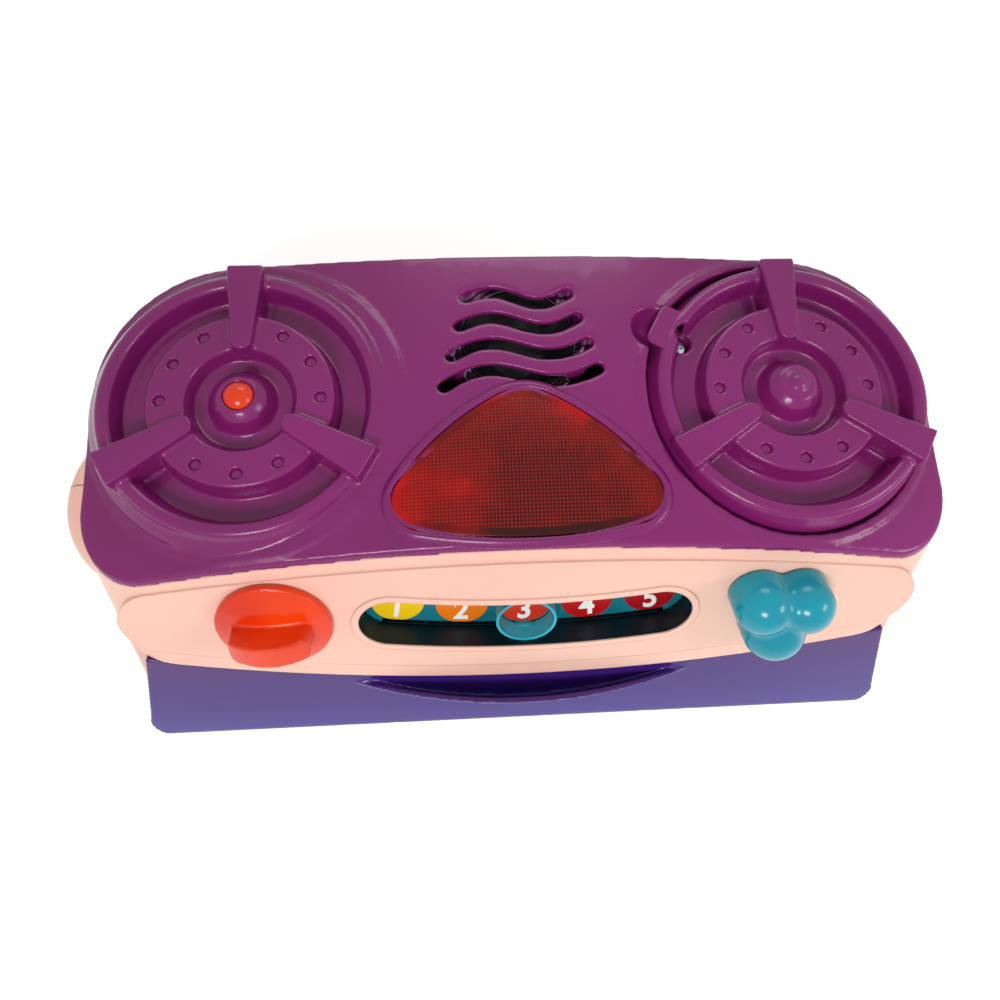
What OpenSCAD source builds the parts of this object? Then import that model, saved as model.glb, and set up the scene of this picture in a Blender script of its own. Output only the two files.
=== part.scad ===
/* [Housing] */
// Width of the housing across its side walls
body_w = 304; // [290:1:320]
// Distance from the line of burner centres back to the rear wall
body_back = 57; // [55:0.5:64]
// Height of the burner plateaus above the table
burner_plane = 96; // [94:0.5:104]
// Wall thickness of the housing
wall = 2.4; // [1.8:0.1:3]
// Corner radius at the back of the housing
back_corner_r = 48; // [30:1:50]
// Corner radius between the control fascia and the side walls
front_corner_r = 24; // [16:1:26]
// Distance of the joint between front and rear housing in front of the burner line
parting = 21; // [19:0.5:24]
// Open seam left between two housing pieces
seam = 0.3; // [0.2:0.05:0.5]

/* [Hob] */
// Radius of the dished curve of the hob surface
crown_r = 950; // [850:10:1200]
// Depth of the highest point of the hob below the burner plateaus
crown_drop = 1.5; // [1:0.1:2]
// Thickness of the hob plate
hob_t = 3; // [2.6:0.1:3.4]
// Step of the hob edge behind the housing surface
hob_inset = 0.5; // [0.3:0.1:0.8]
// Number of sound slots above the speaker
slot_count = 4; // [3:1:4]
// Width of each sound slot
slot_w = 4.4; // [3:0.1:5]
// Pitch of the sound slots
slot_pitch = 10.2; // [9.6:0.1:10.6]
// Length of the rearmost sound slot
slot_len = 41; // [36:1:46]
// Growth in length from one sound slot to the next
slot_grow = 6; // [3:0.5:7]
// Distance of the rearmost sound slot behind the burner line
slot_back = 38.2; // [36:0.2:40]

/* [Burners] */
// Distance between the two burner centres
burner_pitch = 192; // [190:1:196]
// Thickness of the burner mouldings
burner_t = 2.4; // [2:0.1:2.8]
// Radius of the boss at the burner centre
boss_r = 11.2; // [10.5:0.1:12]
// Height of the boss above the burner plateau
boss_h = 3; // [2:0.2:4]
// Inner radius of the burner plateau
plateau_in = 18.5; // [17.5:0.1:19.5]
// Outer radius of the burner plateau
plateau_out = 31.8; // [31:0.1:33]
// Depth of the inner moat below the plateau
moat_in_depth = 6; // [4:0.2:7]
// Depth of the outer moat below the plateau
moat_out_depth = 8.5; // [6:0.2:9]
// Radius of the middle of the rim crest
crest_r = 45.8; // [45:0.1:46.5]
// Width of the rim crest
crest_w = 6; // [5:0.1:6.4]
// Depth of the burner wall below the plateau
burner_wall_depth = 16; // [15:0.2:17]
// Radius where the left burner meets the hob
left_foot_r = 53.2; // [52.4:0.1:53.8]
// Depth below the plateau where a burner's flared wall turns upright
foot_drop = 8; // [7:0.2:9]
// Number of places for vent holes round a burner
vent_places = 12; // [12:3:24]
// Radius of the circle of vent holes
vent_circle_r = 26.8; // [25.5:0.1:27.5]
// Radius of a vent hole
vent_r = 2; // [1.2:0.1:2.4]
// Height of the pan arms above the plateau
arm_h = 3; // [1.5:0.1:5]
// Radius of the outer end of the pan arms
arm_out_r = 50; // [49:0.1:51]
// Radius of the inner tip of the pan arms
arm_in_r = 17; // [15.5:0.1:18]
// Half width of a pan arm at its outer end
arm_half_out = 6.6; // [5:0.1:7.4]
// Half width of a pan arm at its inner tip
arm_half_in = 3.8; // [3:0.1:4.4]

/* [Battery compartment] */
// Outer radius of the battery cover
cover_r = 51.2; // [50.6:0.1:51.4]
// Radius of the well in the hob that takes the battery cover
well_r = 52.2; // [51.8:0.1:52.4]
// Height of the well floor above the table
well_floor = 78; // [77:0.2:79]
// Direction of the cover tab, counted from the right
tab_angle = 148.6; // [146:0.2:150]
// Distance of the tab screw from the burner centre
tab_screw_r = 42.3; // [41.8:0.1:42.6]
// Radius of the access hole above the tab screw
screw_access_r = 3.8; // [3.4:0.1:4]
// Number of battery cells
cell_count = 3; // [2:1:3]
// Diameter of a battery cell
cell_d = 14.5; // [14:0.1:14.8]
// Length of a battery cell without its terminal
cell_len = 49.2; // [48:0.1:49.6]

/* [Signal lamp] */
// Radius of the apex corner of the red lens
lens_apex_r = 9; // [8:0.1:10]
// Radius of the two front corners of the red lens
lens_corner_r = 8.3; // [7.5:0.1:9]
// Distance of the front corner centres from the middle
lens_half = 37; // [35:0.2:38]
// Distance of the front corner centres in front of the burner line
lens_front = 36; // [34:0.2:36.5]
// Radius of the bowed front edge of the lens
lens_bow_r = 114; // [110:1:140]
// Radius of the dome of the lens
lens_dome_r = 260; // [230:5:300]
// Height of the lens dome above the burner plateaus
lens_rise = 0.8; // [0.4:0.1:1.4]
// Thickness of the lens
lens_t = 2.2; // [1.8:0.1:2.4]
// Width of the raised bezel round the lens
bezel_w = 2.2; // [1.6:0.1:2.6]
// Height of the raised bezel above the hob
bezel_h = 1.2; // [0.6:0.1:1.6]

/* [Fascia] */
// Angle of the fascia from the horizontal
fascia_slope = 58; // [57:0.5:59]
// Distance of the fascia's zero line in front of the burner line
fascia_front = 70.4; // [70:0.1:71]
// Height of the fascia's zero line above the table
fascia_z = 64.3; // [64:0.1:65]
// Distance from the zero line down to the lower edge of the fascia
fascia_drop = 38; // [37:0.2:39]
// Radius of the smile curve of the fascia's lower edge
smile_r = 550; // [500:10:620]
// Height of the raised panel on the fascia
panel_h = 0.8; // [0.4:0.1:1.2]
// Distance of each knob from the middle
knob_x = 88.8; // [87:0.2:90]
// Radius of the knobs
knob_r = 20; // [19:0.1:20.6]
// Gap between the raised panel and the knobs
knob_gap = 0.5; // [0.4:0.1:0.8]
// Height of the grip bar of the oven knob above the panel
grip_h = 16; // [13:0.2:18]
// Length of the grip bar
grip_len = 27; // [23:0.5:30]
// Thickness of the grip bar
grip_t = 9.5; // [8:0.1:10.5]
// Distance of the lobe centres of the clover knob from its axis
lobe_pitch_r = 10.6; // [10:0.1:11.4]
// Radius of each lobe of the clover knob
lobe_r = 10.2; // [9.6:0.1:10.8]
// Radius of the lower lobe of the clover knob
chin_r = 11.2; // [10.8:0.1:11.8]
// Distance of the lower lobe's centre from the axis of the clover knob
chin_pitch_r = 6.8; // [6.4:0.1:7.4]
// Height of the straight part of the clover knob
lobe_h = 8; // [6:0.2:10]
// Radius of the knob shafts
shaft_r = 4; // [3.6:0.1:4.4]
// Running clearance between a shaft and its bore
shaft_clear = 0.08; // [0.05:0.01:0.1]

/* [Number slider] */
// Radius of the curved path of the slider
path_r = 298; // [290:1:310]
// Distance of the middle of the path below the fascia's zero line
path_drop = 7.5; // [7:0.1:8]
// Half width of the curved slot
slot_half = 11.7; // [11.5:0.05:12]
// Half length of the straight run of slot centres
slot_reach = 48.5; // [48:0.1:49.5]
// Outer radius of the slider ring
ring_r = 11.2; // [10.8:0.05:11.3]
// Wall thickness of the slider ring
ring_wall = 1.2; // [1:0.05:1.6]
// Depth of the slider ring's top below the rim of the slot
ring_sink = 2.2; // [1.6:0.1:2.8]
// Depth of the number panel below the fascia
label_depth = 9; // [8.6:0.1:10]
// Number of number discs
disc_count = 5; // [3:1:5]
// Radius of a number disc
disc_r = 9.6; // [8:0.1:10]
// Pitch of the number discs along the slot
disc_pitch = 23.4; // [21:0.1:23.6]

/* [Oven] */
// Half width of the oven door at its foot
door_half = 149; // [146:0.5:150]
// Half width of the oven door at the foot of the fascia's ends
door_half_top = 139.5; // [136:0.5:142]
// Wall thickness of the oven door
door_wall = 2.2; // [1.8:0.1:2.6]
// Depth of the oven door over its rim
door_depth = 5; // [4.6:0.1:5.2]
// Corner radius at the bottom of the oven door
door_corner_r = 10; // [8:0.5:12]
// Reach of the finger lip in front of the fascia surface
lip_reach = 12; // [10:0.2:14]
// Half length of the finger lip
lip_half = 66; // [60:0.5:70]
// Depth of the finger lip down the door
lip_drop = 18; // [15:0.5:20]
// Half width of the oven cavity
cavity_half = 122; // [116:0.5:124]
// Height of the oven cavity
cavity_h = 24; // [20:0.5:25]
// Distance of the cavity's back wall behind the burner line
cavity_back = 44; // [38:0.5:46]
// Distance of the door hinges from the middle
hinge_x = 62; // [56:0.5:70]
// Radius of the hinge knuckles on the housing
knuckle_r = 2.2; // [2:0.1:2.3]
// Radius of the hinge pins
pin_r = 1.2; // [1:0.05:1.4]

/* [Pan button] */
// Radius of the pan button
button_r = 5; // [4.5:0.1:5.4]
// Height of the pan button above the burner plateau
button_h = 4.9; // [4:0.1:6]
// Travel of the pan button
button_travel = 3; // [2:0.1:3.2]

/* [Side handle] */
// Reach of the handle lug beyond the left side wall
lug_reach = 11; // [8:0.5:13]
// Length of the handle lug
lug_len = 50; // [44:1:54]
// Height of the handle lug
lug_h = 32; // [26:1:36]
// Height of the lug's lower edge above the table
lug_z = 40; // [36:1:44]

/* [Hidden] */

plum = "#8c2f72";
blush = "#f6c9b4";
half_w = body_w / 2;
burner_x = burner_pitch / 2;
crown_top = burner_plane - crown_drop;
door_sink = 1;
recess_depth = door_sink + door_depth + 0.5;
sill_y = -97;
sill_z = 10;
front_depth = 200;
side_clear = 0.05;
free = 0.3;
tiny = 0.01;
big = 400;
pilot_r = 1.3;
screw_r = 1.25;
arm_turns = [90, 210, 330];
hob_lip = 1;
hob_post_x = 58;
hob_post_front = -47;
hob_post_back = 47;
hob_post_z = 77;
hob_post_r = 4;
collar_w = 3.4;
collar_h = 0.8;
nub_r = 4.6;
tab_r = 7;
tab_out_r = 54;
tab_gap = 0.6;
tab_top = burner_plane - 0.8;
tab_skirt_z = burner_plane - 12;
scoop_r = 9;
cover_screw_r = 1.5;
cover_screw_len = 13;
cover_seat_z = 81.5;
box_half_x = cell_count * (cell_d + 0.4) / 2 + 2;
box_half_y = cell_len / 2 + 6;
box_depth = 18;
lens_ledge = 1.5;
lamp_y = -28;
lamp_z = 70;
lamp_top_r = 20;
speaker_y = 25;
speaker_r = 25;
speaker_z = 85;
guide_r = 8.6;
guide_z = 77;
retainer_t = 2.4;
retainer_screw_x = 13.5;
flange_r = 6.6;
flange_top = -1.9;
flange_t = 1.5;
stem_end = -9.9;
post_r = 4.5;
post_top = 30;
base_t = 2.4;
base_boss_top = 8;
base_post_x = half_w - 13;
base_post_front = -62;
base_post_mid = -8;
base_post_back = 26;
cavity_z = 6;
mouth_top = 27.5;
liner_t = 1.8;
board_half_x = 60;
board_front = -30;
board_back = 40;
board_t = 1.6;
main_board_z = 44;
hinge_s = -68.5;
hinge_n = -4.6;
knuckle_half = 8;
ear_t = 3;
door_foot_r = -door_sink - hinge_n;
ear_far = knuckle_half + free + ear_t;
door_foot_s = hinge_s - door_foot_r;
door_top_gap = 0.6;
lip_top_s = -fascia_drop - 2;
cam_top = 12;
cam_t = 3;
cam_r = 9;
leaf_post_x = 11;
leaf_post_s = 11.8;
foot_offset = 10.4;
foot_half = 0.8;
tray_t = 1.2;
rim_w = 2.6;
rim_h = 0.6;
slider_back = -18.2;
front_board_n = -18.4;
front_board_low = -22;
front_board_high = 16;
front_board_half = 105;
board_post_x = 76;
board_post_low = -18;
board_post_high = 12;
lead_r = 0.8;

// Height of the hob surface at a place in plan
function crown_z(x, y) = crown_top - crown_r + sqrt(crown_r * crown_r - x * x - y * y);
// Place in the frame of a point given across, up the slope and out of the fascia
function fascia_point(x, s, n) = [x,
    -fascia_front + s * cos(fascia_slope) - n * sin(fascia_slope),
    fascia_z + s * sin(fascia_slope) + n * cos(fascia_slope)];
// Distance back of a place on the fascia at a height, n out of the fascia
function fascia_y(z, n) = -fascia_front - n * sin(fascia_slope)
    + (z - fascia_z - n * cos(fascia_slope)) / tan(fascia_slope);
// Points of an arc in a plane
function arc(c, r, a0, a1, n) = [for (i = [0:n]) c + r * [cos(a0 + (a1 - a0) * i / n),
    sin(a0 + (a1 - a0) * i / n)]];

module on_fascia() {
    translate([0, -fascia_front, fascia_z]) rotate([fascia_slope, 0, 0]) children();
}

module at_left_burner() {
    translate([-burner_x, 0, burner_plane]) children();
}

module at_right_burner() {
    translate([burner_x, 0, burner_plane]) children();
}

// Solid below the dished hob surface, lowered by drop
module crown_cap(drop) {
    cap_reach = 210;
    cap_depth = 130;
    translate([0, 0, crown_top - crown_r]) rotate_extrude($fn = 144) intersection() {
        circle(r = crown_r - drop, $fn = 1440);
        translate([0, crown_r - cap_depth]) square([cap_reach, cap_depth + 10]);
    }
}

// Plan of the rear wall and its corners, drawn in by inset; its sides stay clear of the side walls
module rear_outline(inset) {
    w = half_w - inset + side_clear;
    back = body_back - inset;
    r = back_corner_r - inset;
    translate([-w - 6, -150]) square([2 * (w + 6), back - r + 150]);
    translate([-w + r, -150]) square([2 * (w - r), back + 150]);
    for (side = [-1, 1]) translate([side * (w - r), back - r]) circle(r = r, $fn = 96);
}

// Section of the housing square to the fascia's slope, with its side walls and front corners
module front_outline(inset, lip) {
    w = half_w - inset;
    r = front_corner_r - inset;
    top = lip - inset;
    translate([-w, -front_depth]) square([2 * w, front_depth + top - r]);
    translate([-w + r, -front_depth]) square([2 * (w - r), front_depth + top]);
    for (side = [-1, 1]) translate([side * (w - r), top - r]) circle(r = r, $fn = 96);
}

// Housing block drawn in by inset, its front face moved out by lip
module body_block(inset, lip = 0) {
    top_s = 130;
    run = 250;
    intersection() {
        translate([0, 0, -10]) linear_extrude(height = crown_top + 15) rear_outline(inset);
        on_fascia() translate([0, top_s, 0]) rotate([90, 0, 0])
            linear_extrude(height = run) front_outline(inset, lip);
    }
}

// Region below the smile curve of the fascia's lower edge, raised by up
module below_smile(up) {
    difference() {
        translate([-half_w - 10, -120]) square([body_w + 20, 120]);
        translate([0, smile_r - fascia_drop + up]) circle(r = smile_r, $fn = 720);
    }
}

module recess_cut(deep, up, sill) {
    on_fascia() translate([0, 0, -deep]) linear_extrude(height = deep + 40) below_smile(up);
    translate([-big / 2, -big / 2 - 50 - tiny, -20])
        cube([big, big / 2 + 50 + sill_y + sill, sill_z + 20 + sill]);
}

module above_table(from) {
    translate([-big / 2, -big / 2, from]) cube([big, big, 200]);
}

// Side handle lug as a body of revolution, drawn in by inset
module lug_body(inset) {
    r = (lug_len * lug_len / 4 + lug_reach * lug_reach) / (2 * lug_reach);
    edge_r = 6;
    x = -half_w - lug_reach + r;
    translate([x, -lug_len / 2 - 1, lug_z]) rotate_extrude($fn = 120) {
        translate([0, inset]) square([r - edge_r, lug_h - 2 * inset]);
        translate([0, edge_r]) square([r - inset, lug_h - 2 * edge_r]);
        for (h = [edge_r, lug_h - edge_r]) translate([r - edge_r, h])
            circle(r = edge_r - inset, $fn = 48);
    }
}

module housing_block() {
    difference() {
        intersection() {
            body_block(0);
            crown_cap(hob_t + seam);
            above_table(0);
        }
        recess_cut(recess_depth, 0, 0);
    }
}

// Space inside the housing walls, drawn in further by extra
module housing_inside(extra) {
    difference() {
        body_block(wall + extra);
        recess_cut(recess_depth + wall + extra, wall + extra, wall + extra);
    }
}

// Hollow of the handle lug, open to the inside through the side wall
module lug_hollow() {
    intersection() {
        lug_body(wall);
        translate([-half_w - lug_reach, -lug_len, lug_z - 5])
            cube([lug_reach + wall + 4, 2 * lug_len, lug_h + 10]);
    }
}

// Raised panel on the fascia, with a bowed top edge and the smile curve below
module raised_panel() {
    margin = 7.5;
    end_r = 12;
    panel_half = half_w - 10;
    on_fascia() translate([0, 0, -wall / 2]) linear_extrude(height = panel_h + wall / 2)
        intersection() {
            translate([0, smile_r - fascia_drop + margin]) circle(r = smile_r, $fn = 720);
            translate([0, 24.5 - crown_r]) circle(r = crown_r, $fn = 1440);
            union() {
                square([2 * (panel_half - end_r), 100], center = true);
                for (side = [-1, 1]) translate([side * (panel_half - end_r - 4), 0])
                    circle(r = end_r + 4, $fn = 64);
            }
        }
}

// Curved slot region of the fascia, widened by grow
module slot_region(grow) {
    reach_angle = asin(slot_reach / path_r);
    translate([0, path_r - path_drop]) {
        intersection() {
            difference() {
                circle(r = path_r + slot_half + grow, $fn = 720);
                circle(r = path_r - slot_half - grow, $fn = 720);
            }
            polygon([[0, 0], [-2 * path_r * sin(reach_angle), -2 * path_r * cos(reach_angle)],
                [2 * path_r * sin(reach_angle), -2 * path_r * cos(reach_angle)]]);
        }
        // The end circles are a hair wider, so that they cross the edges of the slot
        for (side = [-1, 1]) rotate(side * reach_angle) translate([0, -path_r])
            circle(r = slot_half + grow + 0.02, $fn = 64);
    }
}

// Narrow curved band under the lower edge of the slider ring
module foot_band(half, angle) {
    band_r = path_r + foot_offset;
    translate([0, path_r - path_drop]) intersection() {
        difference() {
            circle(r = band_r + half, $fn = 720);
            circle(r = band_r - half, $fn = 720);
        }
        polygon([[0, 0], [-2 * path_r * sin(angle), -2 * path_r * cos(angle)],
            [2 * path_r * sin(angle), -2 * path_r * cos(angle)]]);
    }
}

module slit_region() {
    foot_band(foot_half + 0.4, asin((slot_reach - 1) / path_r) + 0.8);
}

module at_knob(side) {
    on_fascia() translate([side * knob_x, 0, 0]) children();
}

// Screw with its head below the origin and its shank pointing up
module screw(head_r, head_h, shank_r, length) {
    slot = 0.7;
    difference() {
        translate([0, 0, -head_h]) cylinder(r = head_r, h = head_h, $fn = 32);
        for (turn = [0, 90]) rotate(turn) translate([-head_r * 0.7, -slot / 2, -head_h - 1])
            cube([head_r * 1.4, slot, head_h * 0.6 + 1]);
    }
    cylinder(r = shank_r, h = length, $fn = 24);
}

// Coil of round wire that climbs from zero to height
module coil(r, wire_r, height, turns) {
    sides = 6;
    per_turn = 14;
    steps = turns * per_turn;
    points = [for (i = [0:steps]) let (a = 360 * i / per_turn, z = wire_r + (height - 2 * wire_r)
        * i / steps) for (k = [0:sides - 1]) let (b = 360 * k / sides)
        [(r + wire_r * cos(b)) * cos(a), (r + wire_r * cos(b)) * sin(a), z + wire_r * sin(b)]];
    ends = [[for (k = [0:sides - 1]) sides - 1 - k], [for (k = [0:sides - 1]) steps * sides + k]];
    skin = [for (i = [0:steps - 1]) for (k = [0:sides - 1]) let (m = (k + 1) % sides)
        each [[i * sides + k, i * sides + m, (i + 1) * sides + k],
            [i * sides + m, (i + 1) * sides + m, (i + 1) * sides + k]]];
    polyhedron(points = points, faces = concat(ends, skin), convexity = 10);
}

// Round tube bent square at each of the route's points
module lead(route, r) {
    for (i = [0:len(route) - 2]) {
        a = route[i];
        b = route[i + 1];
        d = b - a;
        run = norm(d);
        translate(a) rotate([0, acos(d[2] / run), atan2(d[1], d[0])])
            cylinder(r = r, h = run, $fn = 16);
        if (i > 0) translate(a) sphere(r = r, $fn = 16);
    }
}

// Half section of a burner moulding, from the centre hole out to its wall
module burner_section(hole_r, foot_r, wall_depth) {
    t = burner_t;
    half_crest = crest_w / 2;
    crest_in = crest_r - half_crest;
    crest_out = crest_r + half_crest;
    bevel = 0.7;
    boss_flat = 6.4;
    polygon(concat(
        [[hole_r, boss_h], [boss_flat, boss_h - 0.4], [boss_r - 2, boss_h - 3],
            [boss_r, -moat_in_depth + bevel], [boss_r + bevel, -moat_in_depth],
            [plateau_in - 1.5, -moat_in_depth], [plateau_in, -bevel],
            [plateau_in + bevel, 0], [plateau_out - bevel, 0], [plateau_out, -bevel],
            [plateau_out + 1, -moat_out_depth], [crest_in - 1, -moat_out_depth]],
        arc([crest_r, -half_crest], half_crest, 180, 0, 8),
        [[foot_r, -foot_drop], [foot_r, -wall_depth], [foot_r - t, -wall_depth],
            [foot_r - t, -foot_drop - 0.6], [crest_out - t, -half_crest],
            [crest_r, -t], [crest_in + t - 0.6, -half_crest],
            [crest_in + t - 1, -moat_out_depth - t], [plateau_out - t + 1, -moat_out_depth - t],
            [plateau_out - t, -t], [plateau_in + t, -t], [plateau_in + t - 1.5, -moat_in_depth - t],
            [boss_r - t + bevel, -moat_in_depth - t], [boss_r - t - 1.4, boss_h - 4 - t / 2],
            [hole_r, boss_h - t]]));
}

module pan_arm() {
    tip_x = arm_in_r + arm_half_in;
    linear_extrude(height = arm_h + moat_out_depth + burner_t / 2) {
        polygon([[tip_x, -arm_half_in], [arm_out_r, -arm_half_out], [arm_out_r, arm_half_out],
            [tip_x, arm_half_in]]);
        translate([tip_x, 0]) circle(r = arm_half_in, $fn = 32);
    }
}

// Three arms that bridge the outer moat; they overhang the wall only above the crest
module pan_arms() {
    intersection() {
        for (turn = arm_turns) rotate(turn)
            translate([0, 0, -moat_out_depth - burner_t / 2]) pan_arm();
        union() {
            translate([0, 0, -burner_wall_depth])
                cylinder(r = crest_r + crest_w / 2 - 0.2, h = 2 * burner_wall_depth, $fn = 120);
            translate([0, 0, -crest_w / 2])
                cylinder(r = arm_out_r + 1, h = burner_wall_depth, $fn = 120);
        }
    }
}

module vent_holes() {
    for (i = [0:vent_places - 1]) {
        a = i * 360 / vent_places;
        off_arm = min([for (arm = arm_turns) abs((a - arm + 540) % 360 - 180)]);
        if (off_arm > 15) rotate(a) translate([vent_circle_r, 0, -burner_t - 1])
            cylinder(r = vent_r, h = burner_t + 2, $fn = 32);
    }
}

module burner(hole_r, foot_r, wall_depth) {
    difference() {
        union() {
            rotate_extrude($fn = 144) burner_section(hole_r, foot_r, wall_depth);
            pan_arms();
        }
        vent_holes();
    }
}

// Outline of the lens and of its seat, grown by d
function lens_outline(d) =
    let (apex = [0, -lens_apex_r],
        left = [-lens_half, -lens_front],
        right = [lens_half, -lens_front],
        bow_r = lens_bow_r - lens_corner_r,
        bow = [0, -lens_front + sqrt(bow_r * bow_r - lens_half * lens_half)],
        span = left - apex,
        side_a = 360 + atan2(span[1], span[0]) - acos((lens_corner_r - lens_apex_r) / norm(span)),
        foot_a = 180 + atan((bow[1] - left[1]) / lens_half))
    concat(arc(apex, lens_apex_r + d, 180 - side_a, side_a, 10),
        arc(left, lens_corner_r + d, side_a, foot_a, 12),
        arc(bow, lens_bow_r + d, foot_a, 540 - foot_a, 16),
        arc(right, lens_corner_r + d, 540 - foot_a, 540 - side_a, 12));

module lens_prism(d) {
    translate([0, 0, crown_top - 9]) linear_extrude(height = 20) polygon(lens_outline(d));
}

module lens_dome(drop) {
    translate([0, -lens_front + 8, burner_plane + lens_rise - lens_dome_r])
        rotate_extrude($fn = 144) intersection() {
            circle(r = lens_dome_r - drop, $fn = 720);
            translate([0, lens_dome_r - 30]) square([90, 40]);
        }
}

// Centre line of sound slot k, with a hump on its left and a dip on its right
function slot_line(k, u) =
    let (half = (slot_len + slot_grow * k) / 2 - slot_w / 2)
    [half * u, slot_back - slot_pitch * k - 2.5 * sin(192 * u)
        + (1.5 - 0.8 * k) * u * u + 0.8 * k * u * u * u];

// Outline of sound slot k, with round ends
function slot_outline(k, steps) =
    let (r = slot_w / 2,
        line = [for (i = [0:steps]) slot_line(k, 2 * i / steps - 1)],
        turn = [for (i = [0:steps]) let (d = line[min(i + 1, steps)] - line[max(i - 1, 0)])
            atan2(d[1], d[0])])
    concat([for (i = [0:steps]) line[i] + r * [-sin(turn[i]), cos(turn[i])]],
        arc(line[steps], r, turn[steps] + 75, turn[steps] - 75, 10),
        [for (i = [steps:-1:0]) line[i] - r * [-sin(turn[i]), cos(turn[i])]],
        arc(line[0], r, turn[0] - 105, turn[0] - 255, 10));

module sound_slots() {
    for (k = [0:slot_count - 1]) translate([0, 0, crown_top - 20])
        linear_extrude(height = 40) polygon(slot_outline(k, 14));
}

module hob_post_places() {
    for (x = [-hob_post_x, hob_post_x]) for (y = [hob_post_front, hob_post_back])
        translate([x, y, 0]) children();
}

// Plan of the cover tab, grown by d
module tab_plan(d) {
    middle = tab_out_r - tab_r;
    translate([burner_x, 0]) rotate(tab_angle) {
        translate([middle, 0]) circle(r = tab_r + d, $fn = 48);
        translate([middle - 8, -tab_r - d]) square([8, 2 * (tab_r + d)]);
    }
}

module at_tab_screw() {
    translate([burner_x + tab_screw_r * cos(tab_angle), tab_screw_r * sin(tab_angle), 0])
        children();
}

module hob_plate() {
    intersection() {
        body_block(hob_inset, hob_lip);
        difference() {
            crown_cap(0);
            crown_cap(hob_t);
        }
    }
    // Low steps round both burners
    for (side = [-1, 1]) intersection() {
        body_block(hob_inset);
        difference() {
            crown_cap(-collar_h);
            crown_cap(hob_t / 2);
        }
        translate([side * burner_x, 0, 0]) cylinder(r = well_r + collar_w, h = big, $fn = 144);
    }
}

// Walls and floor that hold the battery cover
module well_casing() {
    intersection() {
        body_block(wall + free);
        crown_cap(hob_t / 2);
        union() {
            translate([burner_x, 0, well_floor - burner_t])
                cylinder(r = well_r + burner_t, h = 30, $fn = 144);
            translate([0, 0, well_floor - burner_t])
                linear_extrude(height = 30) tab_plan(tab_gap + burner_t);
        }
    }
    at_tab_screw() translate([0, 0, well_floor - cover_screw_len])
        cylinder(r = 4, h = cover_screw_len - 1, $fn = 32);
}

module well_space() {
    translate([burner_x, 0, well_floor]) cylinder(r = well_r, h = big, $fn = 144);
    translate([0, 0, well_floor]) linear_extrude(height = big) tab_plan(tab_gap);
    translate([burner_x - box_half_x + 2, -box_half_y + 2, well_floor - 20])
        cube([2 * box_half_x - 4, 2 * box_half_y - 4, 30]);
    at_tab_screw() translate([0, 0, well_floor - cover_screw_len - 1])
        cylinder(r = cover_screw_r + shaft_clear, h = 30, $fn = 24);
}

module lens_seat() {
    intersection() {
        body_block(hob_inset, hob_lip);
        difference() {
            crown_cap(-bezel_h);
            crown_cap(hob_t - 0.2);
        }
        lens_prism(free + bezel_w);
    }
    // Ledge below the plate, clear of the housing's wall
    intersection() {
        body_block(wall + free);
        difference() {
            crown_cap(hob_t / 2);
            crown_cap(hob_t + lens_ledge);
        }
        lens_prism(free + bezel_w);
    }
}

// Finger scoop in the hob beside the cover tab, grown by d
module scoop(d) {
    translate([burner_x - 47, 26, burner_plane + 0.3]) sphere(r = scoop_r + d, $fn = 64);
}

module hob_inner_posts() {
    intersection() {
        union() {
            hob_post_places() translate([0, 0, hob_post_z + seam])
                cylinder(r = hob_post_r, h = 20, $fn = 32);
            translate([0, speaker_y, speaker_z - 3])
                cylinder(r = speaker_r + 2.4, h = 20, $fn = 96);
        }
        crown_cap(hob_t / 2);
    }
    translate([-burner_x, 0, guide_z])
        cylinder(r = guide_r + 2, h = burner_plane - moat_in_depth - 1 - guide_z, $fn = 64);
    for (side = [-1, 1]) translate([-burner_x + side * retainer_screw_x, 0, guide_z])
        cylinder(r = 3, h = burner_plane - moat_in_depth - 1 - guide_z, $fn = 32);
}

module hob_cuts() {
    well_space();
    scoop(0);
    intersection() {
        lens_prism(free);
        difference() {
            crown_cap(-20);
            crown_cap(hob_t);
        }
    }
    lens_prism(-1.6);
    sound_slots();
    translate([0, speaker_y, speaker_z - 4]) cylinder(r = speaker_r, h = 5.6, $fn = 96);
    intersection() {
        translate([0, speaker_y, speaker_z - 4]) cylinder(r = speaker_r - 1.5, h = 40, $fn = 96);
        crown_cap(hob_t);
    }
    hob_post_places() translate([0, 0, hob_post_z]) cylinder(r = pilot_r, h = 9.5, $fn = 24);
    translate([-burner_x, 0, guide_z - 1])
        cylinder(r = guide_r, h = burner_plane - moat_in_depth - guide_z, $fn = 64);
    for (side = [-1, 1]) translate([-burner_x + side * retainer_screw_x, 0, guide_z - 1])
        cylinder(r = pilot_r, h = 9, $fn = 24);
}

module hob_top() {
    color(plum) difference() {
        union() {
            difference() {
                hob_plate();
                translate([-burner_x, 0, 0]) cylinder(r = crest_r + 1.4, h = big, $fn = 144);
            }
            at_left_burner() burner(button_r + shaft_clear, left_foot_r, burner_wall_depth);
            well_casing();
            lens_seat();
            intersection() {
                scoop(burner_t);
                crown_cap(hob_t / 2);
            }
            hob_inner_posts();
        }
        hob_cuts();
    }
}

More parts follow.
